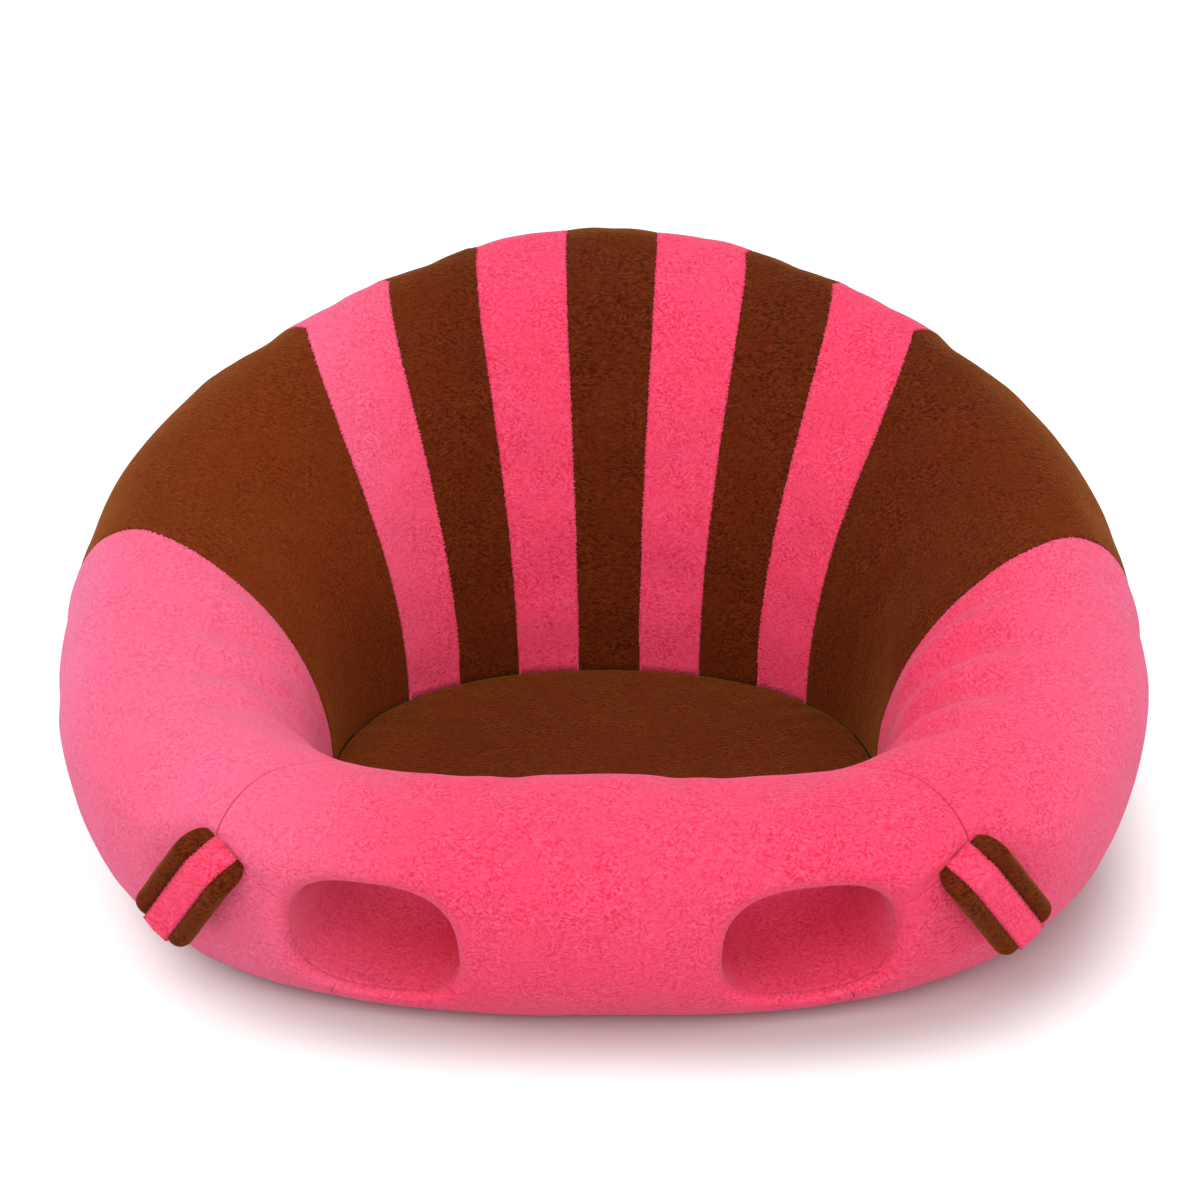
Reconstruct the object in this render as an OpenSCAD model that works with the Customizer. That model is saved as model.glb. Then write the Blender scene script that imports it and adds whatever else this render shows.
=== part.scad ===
// Baby floor seat: a stuffed plush ring, low in front and raised behind, with a padded seat in its
// basin, two leg holes through the front roll, two sewn tabs and a zip in the base.
//
// The ring is described by two walks. An angle goes round it, from 0 at the front over 90 at the
// right side to 180 at the back. A step number goes over its section: up the outer side from the
// foot, over the crest and down the basin wall to the seat. Lengths are millimetres.

/* [Ring] */
// Width of the ring, from side to side
ring_w = 459; // [443:1:478]
// Reach of the ring in front of its middle line
front_reach = 202; // [194:1:212]
// Reach of the ring behind its middle line
back_reach = 214; // [204:1:226]
// Squareness of the outline in front, where 2 is an ellipse
front_square = 2.5; // [2:0.05:2.8]
// Squareness of the outline behind
back_square = 2; // [2:0.05:2.4]
// Height of the front roll
front_h = 97; // [93:1:106]
// Height of the back rest
back_h = 207; // [190:1:225]
// Height of the widest line of the front roll
front_belly = 70; // [62:1:76]
// Height of the widest line of the back rest
back_belly = 94; // [80:1:110]
// Distance from the outline in to the crest, in front
front_crest = 34; // [28:1:40]
// Distance from the outline in to the crest, behind
back_crest = 44; // [36:1:52]
// Distance from the outline in to the flat base, in front
front_foot = 42; // [34:1:50]
// Distance from the outline in to the flat base, behind
back_foot = 60; // [48:1:70]
// Thickness of the ring at seat height, in front
front_wall = 107; // [98:1:112]
// Thickness of the ring at seat height, behind
back_wall = 126; // [116:1:134]
// Angle round the ring at which the back rest starts to rise
rise_start = 29; // [20:1:40]
// How late the rise comes, where 1 is even
rise_late = 1.2; // [1:0.05:1.5]

/* [Cover] */
// Thickness of the plush with its backing cloth
skin = 3; // [2.5:0.1:3.5]
// Depth to which a seam draws the plush in
seam_pinch = 3; // [2:0.5:5]
// Angle of the seam between front and side panels, at the crest
front_seam = 40.5; // [39:0.5:43]
// Angle of the seam between side and wing panels, at the crest
side_seam = 91; // [82:1:100]
// Angle at which the seven back stripes start, at the crest
stripe_start = 131.5; // [124:0.5:140]
// How far the stripes lean forward on their way down into the basin
stripe_lean = 9; // [4:1:12]

/* [Seat] */
// Height of the seat's rim over the floor
seat_h = 22; // [21:1:25]
// How much the seat pad crowns over its rim
seat_crown = 6; // [3:1:9]

/* [Leg holes] */
// Distance between the middles of the two leg holes, at their mouths
leg_spacing = 174; // [168:1:180]
// Width of a leg hole
leg_w = 68; // [60:1:72]
// Height of a leg hole at its mouth
leg_h = 57; // [50:1:60]
// Height of the leg hole's floor at its mouth
leg_floor = 13; // [11:1:15]
// Angle by which the leg holes splay outward
leg_splay = 15; // [13:1:20]
// How far a hole's rim rolls open
leg_flare = 6; // [4:1:8]

/* [Tabs] */
// Length of a tab
tab_l = 45; // [41:1:52]
// Width of a tab
tab_w = 27; // [24:1:32]
// Thickness of a tab
tab_t = 11; // [9:0.5:13]
// Width of the band round a tab
band_w = 12.5; // [9:0.5:14]
// Thickness of the band
band_t = 1.8; // [1.2:0.1:2.2]
// Height of a tab's root over the floor
tab_root_h = 76; // [75:1:80]
// Angle by which a tab leans towards the back
tab_lean = 34; // [26:1:40]
// Angle by which a tab stands off the ring
tab_tilt = 8; // [7:1:16]

/* [Zip] */
// Length of the zip's row of teeth
zip_l = 150; // [130:1:156]
// Distance between neighbouring teeth of one row
tooth_pitch = 3.8; // [3.6:0.1:4.6]
// Width of the slot that shows the zip
slot_w = 22; // [18:1:24]
// Depth by which the zip is set in from the base
placket_h = 5; // [4.8:0.1:5.5]
// Thickness of the zip's tapes
tape_t = 0.8; // [0.6:0.1:1]
// Length of the slider
slider_l = 12; // [10:0.5:13]
// Length of the pull tab, from its pivot
pull_l = 17; // [14:0.5:18]

/* [Hidden] */
half_w = ring_w / 2;
middle_y = (front_reach - back_reach) / 2; // puts the outline's box on the origin
eps = 0.02;

// Steps over the section: outer side below and above the widest line, then the basin wall
low_steps = 3;
top_steps = 3;
wall_steps = 4;
crest_step = low_steps + top_steps;
last_step = crest_step + wall_steps;

// Shape of the basin wall's curve: how far the crest runs level, and how high the drop starts
wall_arch = 0.47;
front_hang = 0.6;
back_hang = 0.45;

// The twelve panels round the ring, from the front panel over the right side, and their columns
panel_columns = [10, 6, 6, 4, 4, 4, 4, 4, 4, 4, 6, 6];
panel_count = len(panel_columns);
stripe_count = 7;
stripe_step = 2 * (180 - stripe_start) / stripe_count;
seams_a_side = panel_count / 2;
side_lead = 4;       // the side seam leans forward into the basin
side_lag = 10;       // and backward towards the foot
front_lead = 2;      // the front seam leans forward into the basin
hole_detour = 9.5;   // and turns forward below the tab, to end on the leg hole
detour_low = 50;     // heights between which that turn is made
detour_high = 84;

// Leg holes
leg_x = leg_spacing / 2;
leg_y = -front_reach * pow(1 - pow(leg_x / half_w, front_square), 1 / front_square);
leg_top = leg_floor + leg_h;
leg_run = front_wall * 0.97; // from a hole's mouth to the basin
hole_square = 2.7;
hole_points = 16;
// Stations along a hole, as [distance from the mouth, how far the rim has rolled open]
hole_stations = [
    [-30, 2 * leg_flare],
    [-4, leg_flare],
    [14, 0],
    [leg_run - 14, 0],
    [leg_run + 24, leg_flare / 2]
];

// Tabs, each held by a tail in the front seam
tab_clear = 0.3;
tail_w = 24;
tail_t = 1.4;
tail_in = 6;
tail_out = 0.8;
root_t = 2.4;
tab_sides = 12;      // straight pieces round a whole turn of a tab's edge

// Zip, in levels above the floor
stop_l = 2;
stop_gap = 1;        // from the last tooth to the stop at the open end
slider_gap = 1.5;    // from the closed slider to the stops behind it
slot_room = 56;      // by which the slot is longer than the row of teeth
slot_l = zip_l + slot_room;
slot_edge = 2;
guard_t = 1;
guard_room = 1.1;
plate_t = 1;
tooth_h = 2.2;
tooth_w = 1.5;
tooth_reach = 0.9;  // how far a tooth passes the zip's middle line
tooth_root = 2.6;
tape_edge = 1.5;
plate_clear = 0.4;
zip_z = skin + placket_h;
tooth_z = zip_z + tape_t / 2 - tooth_h / 2;
slider_z = tooth_z - plate_clear - plate_t;
slider_h = tooth_h + 2 * plate_clear + 2 * plate_t;
slider_w = 10.4;
flange_w = 1;
flange_clear = 0.4;
slider_x = zip_l / 2 + slider_l / 2;
bail_h = 2;
bail_w = 1.8;
bail_bar = 0.8;
bail_l = 8;
wedge_l = 3.2;
wedge_w = 2;
wedge_end = 0.2;
pull_bar_r = 0.4;
pull_w = 6.4;
pull_t = 0.9;
pull_side = 0.2;     // by which the pull's bar stays inside its arms
arm_w = 1.1;
arm_room = 2.6;      // from the bail's end to the closed part of the pull
eye_r = 1.3;
eye_edge = 2;
pull_droop = 12;
pull_z = slider_z - (bail_h - bail_bar) / 2;
guard_z = slider_z + slider_h + guard_room;
guard_half_w = slot_w / 2 + slot_edge + guard_t;
guard_half_l = slot_l / 2 + slot_edge + guard_t;

pink = "#f2497a";
brown = "#6e3014";
dark_cloth = "#3a2c28";
fibre_white = "#f1eee6";
tooth_brown = "#4b2615";
metal = "#9a9a9e";

// ---- Shape of the ring ----

function mix(a, b, f) = a + (b - a) * f;
function smooth(x) = let (c = min(1, max(0, x))) c * c * (3 - 2 * c);
function curve(a, b, c, d, u) =
    pow(1 - u, 3) * a + 3 * pow(1 - u, 2) * u * b + 3 * (1 - u) * u * u * c + pow(u, 3) * d;

// Angle from the front, the same on both sides
function turn(t) = t > 180 ? 360 - t : abs(t);

// Distance of the outline from the middle
function outline(t) =
    let (reach = cos(t) > 0 ? front_reach : back_reach,
         power = cos(t) > 0 ? front_square : back_square)
    pow(pow(abs(sin(t)) / half_w, power) + pow(abs(cos(t)) / reach, power), -1 / power);

// How far the ring has risen from the front roll (0) to the back rest (1)
function rise(t) = pow(smooth((turn(t) - rise_start) / (180 - rise_start)), rise_late);

function top_at(t) = mix(front_h, back_h, rise(t));
function belly_at(t) = mix(front_belly, back_belly, rise(t));
function crest_at(t) = outline(t) - mix(front_crest, back_crest, rise(t));
function foot_at(t) = outline(t) - mix(front_foot, back_foot, rise(t));
function basin_at(t) = outline(t) - mix(front_wall, back_wall, rise(t));

// A point of the section as [distance from the middle, height], set in by depth from the plush face
// and drawn in further by pinch, which fades out at the foot and at the seat
function section(t, step, depth, pinch) =
    let (set = depth + pinch * sin(180 * step / last_step),
         out = outline(t) - set,
         top = top_at(t) - set,
         belly = belly_at(t),
         crest = crest_at(t),
         foot = foot_at(t),
         basin = basin_at(t),
         a = step <= low_steps ? 90 * step / low_steps : 90 * (step - low_steps) / top_steps,
         u = (step - crest_step) / wall_steps)
    step <= low_steps ? [mix(foot, out, sin(a)), mix(belly, depth, cos(a))]
    : step <= crest_step ? [mix(crest, out, cos(a)), mix(belly, top, sin(a))]
    : curve([crest, top], [mix(crest, basin, wall_arch), top],
            [basin + set, mix(seat_h, top, mix(front_hang, back_hang, rise(t)))],
            [basin + depth, seat_h], u);

// ---- Seams between the panels ----

// Angle of seam number k at the crest, counted from the front
function seam_crest(k) =
    k == 1 ? front_seam : k == 2 ? side_seam : stripe_start + (k - 3) * stripe_step;
function seam_lead(k) =
    k == 1 ? front_lead
    : k == 2 ? side_lead
    : stripe_lean * cos(90 * (seam_crest(k) - stripe_start) / (180 - stripe_start));
function detour(z) = -hole_detour * (1 - smooth((z - detour_low) / (detour_high - detour_low)));
function seam_shift(k, step) =
    step > crest_step ? 0
    : k == 1 ? detour(section(front_seam, step, 0, 0)[1])
    : k == 2 ? side_lag * (1 - step / crest_step)
    : 0;
function seam_at(k, step) =
    let (u = max(0, (step - crest_step) / wall_steps))
    seam_crest(k) - seam_lead(k) * (1 - pow(1 - u, 3)) + seam_shift(k, step);

// Angle of the edge between panel p - 1 and panel p
function panel_edge(p, step) =
    p == 0 ? -seam_at(1, step)
    : p <= seams_a_side ? seam_at(p, step)
    : 360 - seam_at(panel_count + 1 - p, step);

// Columns crowd towards the seams, where the plush turns in
function column_share(p, column) = (1 - cos(180 * column / panel_columns[p])) / 2;

function ring_angle(p, column, step) =
    mix(panel_edge(p, step), panel_edge(p + 1, step), column_share(p, column));
function ring_point(p, column, step, depth) =
    let (t = ring_angle(p, column, step),
         drawn = seam_pinch * (1 - sqrt(sin(180 * column_share(p, column)))),
         s = section(t, step, depth, drawn))
    [s[0] * sin(t), middle_y - s[0] * cos(t), s[1]];

// All columns round the ring, as [panel, column]
columns = [for (p = [0:panel_count - 1]) for (c = [0:panel_columns[p] - 1]) [p, c]];
function flat(c, z) = let (q = ring_point(c[0], c[1], last_step, skin)) [q[0], q[1], z];

// ---- Solids of the ring ----

// Two triangles over the cell from a to c, by way of b and d
function cell(a, b, c, d) = [[a, b, c], [a, c, d]];

// The same triangles seen from below, on points that come shift later
function underside(faces, shift) =
    [for (f = faces) [f[2] + shift, f[1] + shift, f[0] + shift]];

// The whole ring as one solid, with its face set in by depth
module ring_solid(depth) {
    rows = last_step + 2;
    count = len(columns);
    points = [for (c = columns) for (i = [0:rows - 1])
        i <= last_step
            ? ring_point(c[0], c[1], i, depth)
            : let (q = ring_point(c[0], c[1], last_step, depth)) [q[0], q[1], depth]];
    faces = [for (j = [0:count - 1]) for (i = [0:rows - 1])
        let (k = (j + 1) % count, n = (i + 1) % rows)
        each cell(j * rows + i, j * rows + n, k * rows + n, k * rows + i)];
    polyhedron(points, faces);
}

// One panel of plush, as thick as the skin, between its two seams
module panel_shell(p) {
    width = panel_columns[p];
    rows = last_step + 1;
    layer = (width + 1) * rows;
    points = [for (depth = [0, skin]) for (j = [0:width]) for (i = [0:last_step])
        ring_point(p, j, i, depth)];
    face = [for (j = [0:width - 1]) for (i = [0:last_step - 1])
        let (a = j * rows + i)
        each cell(a, a + 1, a + 1 + rows, a + rows)];
    faces = concat(
        face,
        underside(face, layer),
        [for (a = [0:last_step - 1]) let (b = width * rows + a)
            each concat(cell(a, a + layer, a + 1 + layer, a + 1),
                cell(b, b + 1, b + 1 + layer, b + layer))],
        [for (j = [0:width - 1]) let (a = j * rows, b = a + last_step)
            each concat(cell(a, a + rows, a + rows + layer, a + layer),
                cell(b + rows, b, b + layer, b + rows + layer))]);
    polyhedron(points, faces);
}

module right_panel(p, tint) {
    color(tint)
    panel_shell(p);
}

// A left panel is the right one's mirror
module left_panel(p, tint) {
    color(tint)
    panel_shell(panel_count - p);
}

module front_panel() {
    color(pink)
    difference() {
        panel_shell(0);
        leg_holes(0);
        tab_tail(1);
        tab_tail(-1);
    }
}

module side_panel(side) {
    color(pink)
    difference() {
        panel_shell(side > 0 ? 1 : panel_count - 1);
        leg_holes(0);
        tab_tail(side);
    }
}

module ring_filling() {
    color(fibre_white)
    difference() {
        ring_solid(skin);
        leg_holes(0);
        tab_tail(1);
        tab_tail(-1);
    }
}

// ---- Leg holes ----

// Outline of a leg hole, rolled open by grow
function hole_outline(w, h) =
    [for (i = [0:hole_points - 1]) let (a = 360 * i / hole_points)
        [w * sign(cos(a)) * pow(abs(cos(a)), 2 / hole_square),
         h * sign(sin(a)) * pow(abs(sin(a)), 2 / hole_square)]];

// A thin slice of a leg hole at a station, in the hole's own frame, where it runs along +Y
module hole_slice(station, grow) {
    floor_z = mix(leg_floor, seat_h + 1 + leg_flare / 2, max(0, min(1, station[0] / leg_run)));
    open = station[1] + grow;
    translate([0, station[0], (floor_z + leg_top) / 2])
    rotate([90, 0, 0])
    linear_extrude(eps)
    polygon(hole_outline(leg_w / 2 + open, (leg_top - floor_z) / 2 + open));
}

module leg_hole(side, grow) {
    mirror([side < 0 ? 1 : 0, 0, 0])
    translate([leg_x, middle_y + leg_y, 0])
    rotate([0, 0, leg_splay])
    for (i = [0:len(hole_stations) - 2])
        hull() {
            hole_slice(hole_stations[i], grow);
            hole_slice(hole_stations[i + 1], grow);
        }
}

module leg_holes(grow) {
    leg_hole(1, grow);
    leg_hole(-1, grow);
}

// Plush lining of one leg hole, from the front of the roll to the basin
module leg_lining(side) {
    color(pink)
    intersection() {
        ring_solid(0);
        difference() {
            leg_hole(side, 0);
            leg_hole(side, -skin);
        }
    }
}

// ---- Seat and base ----

// Rings of the seat, as shares of the basin's width
seat_rings = [1, 0.62];
function seat_top(share) = seat_h + seat_crown * sqrt(1 - share * share);

// The seat's face, lowered by drop: the rim under the panels' edge, the rings and the middle
function seat_face(drop) = concat(
    [for (c = columns) flat(c, seat_h - drop)],
    [for (r = seat_rings) for (c = columns)
        let (q = ring_point(c[0], c[1], last_step, 0))
        [q[0] * r, middle_y + (q[1] - middle_y) * r, seat_top(r) - drop]],
    [[0, middle_y, seat_top(0) - drop]]);
seat_count = len(columns);
seat_rows = len(seat_rings) + 1;
seat_size = seat_count * seat_rows + 1;

// Triangles of the seat's face, seen from above
seat_faces = concat(
    [for (r = [0:seat_rows - 2]) for (j = [0:seat_count - 1])
        let (k = (j + 1) % seat_count, a = r * seat_count)
        each cell(a + j, a + seat_count + j, a + seat_count + k, a + k)],
    [for (j = [0:seat_count - 1]) let (a = (seat_rows - 1) * seat_count)
        [a + j, seat_size - 1, a + (j + 1) % seat_count]]);

module seat_cover() {
    color(brown)
    polyhedron(
        concat(seat_face(0), seat_face(skin)),
        concat(seat_faces,
            underside(seat_faces, seat_size),
            [for (j = [0:seat_count - 1]) let (k = (j + 1) % seat_count)
                each cell(j, k, k + seat_size, j + seat_size)]));
}

// The pad fills the space between the base and the seat cover, with a groove over the zip
module seat_pad() {
    color(fibre_white)
    difference() {
        polyhedron(
            concat(seat_face(skin), [for (c = columns) flat(c, skin)]),
            concat(seat_faces,
                [for (j = [0:seat_count - 1]) let (k = (j + 1) % seat_count)
                    each cell(j, k, k + seat_size, j + seat_size)],
                [[for (j = [0:seat_count - 1]) j + seat_size]]));
        zip_box(guard_half_l, guard_half_w, 0, guard_z + guard_t);
    }
}

module base_panel() {
    color(dark_cloth)
    difference() {
        linear_extrude(skin)
        polygon([for (c = columns) let (q = ring_point(c[0], c[1], 0, 0)) [q[0], q[1]]]);
        zip_box(slot_l / 2, slot_w / 2, -1, skin + 1);
    }
}

// ---- Zip in the base ----

// A box centred on the zip
module zip_box(half_l, half_w, low, high) {
    translate([-half_l, -half_w, low])
    cube([2 * half_l, 2 * half_w, high - low]);
}

// Frame of cloth that sets the zip in from the base
module zip_placket() {
    color(dark_cloth)
    difference() {
        zip_box(slot_l / 2 + slot_edge, slot_w / 2 + slot_edge, skin, zip_z);
        zip_box(slot_l / 2, slot_w / 2, skin - 1, zip_z + 1);
    }
}

// Inner flap that keeps the filling out of the zip
module zip_guard() {
    color(dark_cloth)
    difference() {
        zip_box(guard_half_l, guard_half_w, skin, guard_z + guard_t);
        zip_box(guard_half_l - guard_t, guard_half_w - guard_t, skin - 1, guard_z);
    }
}

module zip_tape(side) {
    color(brown)
    mirror([0, side < 0 ? 1 : 0, 0])
    translate([-slot_l / 2 - slot_edge, tape_edge, zip_z])
    cube([slot_l + 2 * slot_edge, slot_w / 2 + slot_edge - tape_edge, tape_t]);
}

// A tooth grips the edge of its tape: this is its outline across the zip, for the back row
function tooth_outline() =
    let (low = tooth_z, high = tooth_z + tooth_h, nose = tooth_h / 4)
    [[-tooth_reach, low + nose], [-tooth_reach + nose, low], [tooth_root, low],
     [tooth_root, zip_z], [tape_edge, zip_z], [tape_edge, zip_z + tape_t],
     [tooth_root, zip_z + tape_t], [tooth_root, high], [-tooth_reach + nose, high],
     [-tooth_reach, high - nose]];

module zip_teeth(side) {
    lag = side > 0 ? 0 : tooth_pitch / 2;
    color(tooth_brown)
    mirror([0, side < 0 ? 1 : 0, 0])
    for (x = [-zip_l / 2 + lag:tooth_pitch:zip_l / 2 - tooth_pitch])
        translate([x, 0, 0])
        rotate([90, 0, 90])
        linear_extrude(tooth_w)
        polygon(tooth_outline());
}

// One stop across both rows at the open end, and one on each tape behind the closed slider
module zip_stops() {
    closed_x = slider_x + slider_l / 2 + slider_gap;
    stop_reach = tape_edge / 3;
    color(tooth_brown) {
        translate([-zip_l / 2 - stop_l - stop_gap, -tooth_root, tooth_z])
        difference() {
            cube([stop_l, 2 * tooth_root, tooth_h]);
            for (y = [-1, tooth_root + tape_edge])
                translate([-1, y, zip_z - tooth_z])
                cube([stop_l + 2, tooth_root - tape_edge + 1, tape_t]);
        }
        for (side = [0, 1])
            mirror([0, side, 0])
            translate([closed_x, 0, 0])
            rotate([90, 0, 90])
            linear_extrude(stop_l)
            polygon([for (q = tooth_outline()) [max(q[0], stop_reach), q[1]]]);
    }
}

// Slider: two plates held apart by the wedge that parts the teeth, with a bail for the pull
module zip_slider() {
    flange_h = (slider_h - tape_t) / 2 - flange_clear;
    color(metal)
    translate([slider_x, 0, slider_z]) {
        slider_plate(0);
        slider_plate(slider_h - plate_t);
        for (side = [-1, 1])
            for (z = [0, slider_h - flange_h])
                translate([-slider_l / 2 + flange_w, side * (slider_w - flange_w) / 2 - flange_w / 2, z])
                cube([slider_l - 2 * flange_w, flange_w, flange_h]);
        translate([slider_l / 2 - wedge_l - wedge_end, 0, 0])
        linear_extrude(slider_h)
        polygon([[0, 0], [wedge_l / 2, wedge_w / 2], [wedge_l, wedge_w / 3],
            [wedge_l, -wedge_w / 3], [wedge_l / 2, -wedge_w / 2]]);
        for (x = [-bail_l / 2, bail_l / 2 - bail_bar])
            translate([x, -bail_w / 2, -bail_h])
            cube([bail_bar, bail_w, bail_h + plate_t / 2]);
        translate([-bail_l / 2, -bail_w / 2, -bail_h])
        cube([bail_l, bail_w, bail_bar]);
    }
}

module slider_plate(z) {
    corner = 2;
    translate([0, 0, z])
    linear_extrude(plate_t)
    polygon([[-slider_l / 2, -slider_w / 2 + corner], [-slider_l / 2 + corner / 2, -slider_w / 2],
        [slider_l / 2 - corner, -slider_w / 2], [slider_l / 2, -slider_w / 2 + corner],
        [slider_l / 2, slider_w / 2 - corner], [slider_l / 2 - corner, slider_w / 2],
        [-slider_l / 2 + corner / 2, slider_w / 2], [-slider_l / 2, slider_w / 2 - corner]]);
}

// Pull tab: a bar through the bail, two arms beside it and a plate with a round eye
module zip_pull() {
    arm_l = bail_l / 2 + arm_room;
    color(metal)
    translate([slider_x, 0, pull_z])
    rotate([0, -pull_droop, 0]) {
        rotate([90, 0, 0])
        cylinder(r = pull_bar_r, h = pull_w - 2 * pull_side, center = true, $fn = 24);
        translate([-pull_l, 0, -pull_t / 2])
        difference() {
            translate([0, -pull_w / 2, 0])
            cube([pull_l, pull_w, pull_t]);
            translate([pull_l - arm_l, -pull_w / 2 + arm_w, -1])
            cube([arm_l + 2, pull_w - 2 * arm_w, pull_t + 2]);
            translate([eye_r + eye_edge, 0, -1])
            cylinder(r = eye_r, h = pull_t + 2, $fn = 32);
        }
    }
}

// ---- Tabs ----

// Where a tab leaves the front seam
root_up = asin((tab_root_h - belly_at(front_seam)) / (top_at(front_seam) - belly_at(front_seam)));
root_angle = front_seam + detour(tab_root_h);
root_reach = mix(crest_at(root_angle), outline(root_angle), cos(root_up));

// A tab's own frame: X across it, Y away from the ring and Z up along it, from its root
module at_tab(side) {
    mirror([side < 0 ? 1 : 0, 0, 0])
    translate([root_reach * sin(root_angle), middle_y - root_reach * cos(root_angle), tab_root_h])
    rotate([0, 0, 180 + root_angle])
    rotate([tab_tilt, 0, 0])
    rotate([0, tab_lean, 0])
    children();
}

// The tail that is sewn into the seam
module tab_tail(side) {
    at_tab(side)
    translate([-tail_w / 2, -tail_in, -tail_t / 2])
    cube([tail_w, tail_in + tail_out, tail_t]);
}

// Stations down a tab, as [distance from the root, distance off the ring, thickness, width]
root_gap = tail_t / 2 + tab_clear;
tab_stations = [
    [root_gap, 1.8, root_t, tail_w],
    [0.13 * tab_l, 6.2, 0.6 * tab_t, tab_w - 1],
    [0.3 * tab_l, 3.9 + tab_t / 2, tab_t, tab_w],
    [0.9 * tab_l, 2.2 + tab_t / 2, tab_t, tab_w],
    [tab_l, 2.2 + tab_t / 2, 0.55 * tab_t, tab_w - 3]
];

module tab_slice(station, grow, down) {
    t = station[2] + 2 * grow;
    translate([0, station[1], -station[0] - down])
    linear_extrude(eps)
    offset(r = t / 2, $fn = tab_sides)
    square([station[3] - station[2], eps], center = true);
}

// The padded body of a tab, swollen by grow
module tab_body(grow) {
    last = len(tab_stations) - 1;
    for (i = [0:last - 1])
        hull() {
            tab_slice(tab_stations[i], grow, 0);
            tab_slice(tab_stations[i + 1], grow, i + 1 == last ? grow : 0);
        }
}

// The band lies half sunk in the pad and goes round its end
module band_loop() {
    intersection() {
        difference() {
            tab_body(band_t / 2);
            tab_body(-band_t / 2);
        }
        translate([-band_w / 2, -tab_t, -2 * tab_l])
        cube([band_w, 4 * tab_t, 2 * tab_l - root_gap - 4]);
    }
}

module tab_pad(side) {
    color(brown)
    at_tab(side)
    difference() {
        tab_body(0);
        band_loop();
    }
}

module tab_band(side) {
    color(pink)
    at_tab(side)
    band_loop();
}

front_panel();
side_panel(1);  // side_panel_right
side_panel(-1);  // side_panel_left
right_panel(2, brown);  // wing_panel_right
left_panel(2, brown);  // wing_panel_left
right_panel(3, pink);  // stripe_outer_right
left_panel(3, pink);  // stripe_outer_left
right_panel(4, brown);  // stripe_mid_right
left_panel(4, brown);  // stripe_mid_left
right_panel(5, pink);  // stripe_inner_right
left_panel(5, pink);  // stripe_inner_left
right_panel(6, brown);  // back_centre_panel
leg_lining(1);  // leg_lining_right
leg_lining(-1);  // leg_lining_left
ring_filling();
seat_cover();
seat_pad();
base_panel();
zip_placket();
zip_guard();
zip_tape(-1);  // zip_tape_front
zip_tape(1);  // zip_tape_back
zip_teeth(-1);  // zip_teeth_front
zip_teeth(1);  // zip_teeth_back
zip_stops();
zip_slider();
zip_pull();
tab_tail(1);  // tab_tail_right
tab_tail(-1);  // tab_tail_left
tab_pad(1);  // tab_pad_right
tab_pad(-1);  // tab_pad_left
tab_band(1);  // tab_band_right
tab_band(-1);  // tab_band_left
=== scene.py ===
"""Looks of a stuffed plush floor seat for a baby.

The seat is a thick plush ring, low in front and raised behind. Its cover is sewn from twelve
panels over a fibre filling, with a crowned seat in the basin, two lined leg holes, two padded
tabs and a zipped base. Shapes are worked out from the sizes of the sewn cover, in metres, in
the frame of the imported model. Angles are degrees round the ring, from 0 at the front over 90 at
the right side, and a step runs over the ring's section, from the foot over the crest to the seat.
"""

import logging
import math
from dataclasses import dataclass, field, replace
from enum import Enum
from functools import cache
from typing import Callable, Sequence

import bpy
import numpy as np
from mathutils import Matrix, Vector, noise


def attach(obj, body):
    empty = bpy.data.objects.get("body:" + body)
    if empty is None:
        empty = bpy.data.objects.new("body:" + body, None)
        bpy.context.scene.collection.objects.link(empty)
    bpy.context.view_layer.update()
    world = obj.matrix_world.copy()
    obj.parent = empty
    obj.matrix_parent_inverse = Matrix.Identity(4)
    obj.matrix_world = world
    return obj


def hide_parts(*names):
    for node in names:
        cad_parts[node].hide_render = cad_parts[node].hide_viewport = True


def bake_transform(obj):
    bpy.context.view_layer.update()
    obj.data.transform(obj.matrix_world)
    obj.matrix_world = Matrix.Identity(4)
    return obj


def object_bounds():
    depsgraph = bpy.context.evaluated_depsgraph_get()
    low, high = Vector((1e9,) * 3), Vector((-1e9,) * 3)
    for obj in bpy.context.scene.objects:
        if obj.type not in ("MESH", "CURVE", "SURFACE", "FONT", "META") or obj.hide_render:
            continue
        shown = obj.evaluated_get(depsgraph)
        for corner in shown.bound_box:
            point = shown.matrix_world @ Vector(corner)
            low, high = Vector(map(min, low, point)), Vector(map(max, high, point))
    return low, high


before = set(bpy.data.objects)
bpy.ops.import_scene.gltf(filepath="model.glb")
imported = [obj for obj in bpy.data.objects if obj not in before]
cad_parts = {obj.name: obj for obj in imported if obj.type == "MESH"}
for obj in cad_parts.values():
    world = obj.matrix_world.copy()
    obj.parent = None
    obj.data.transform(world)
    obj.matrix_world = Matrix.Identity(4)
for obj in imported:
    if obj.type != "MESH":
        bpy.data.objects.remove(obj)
cad_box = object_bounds()

log = logging.getLogger("floor_seat")
Array = np.ndarray
Value = float | Array
Socket = bpy.types.NodeSocket
Input = float | Sequence[float] | Socket
Pair = tuple[float, float]
Triple = Colour = tuple[float, float, float]

MM = 0.001
PHOTO_PIXELS = 1200
# Uneven threads per metre of cloth
WEAVE_LUMPS = 300.0


# -------- small helpers


def mix(a: Value, b: Value, share: Value) -> Value:
    """Value between a and b."""
    return a + (b - a) * share


def smooth(x: Value) -> Array:
    """Soft step from 0 to 1 while x goes from 0 to 1."""
    c = np.clip(x, 0, 1)
    return c * c * (3 - 2 * c)


def signed_power(value: Array, power: float) -> Array:
    """Power of a value's size, with the value's sign."""
    return np.sign(value) * np.abs(value) ** power


def circle(count: int) -> Array:
    """Angles in radians that part a full turn evenly."""
    return np.linspace(0, 2 * math.pi, count, endpoint=False)


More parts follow.
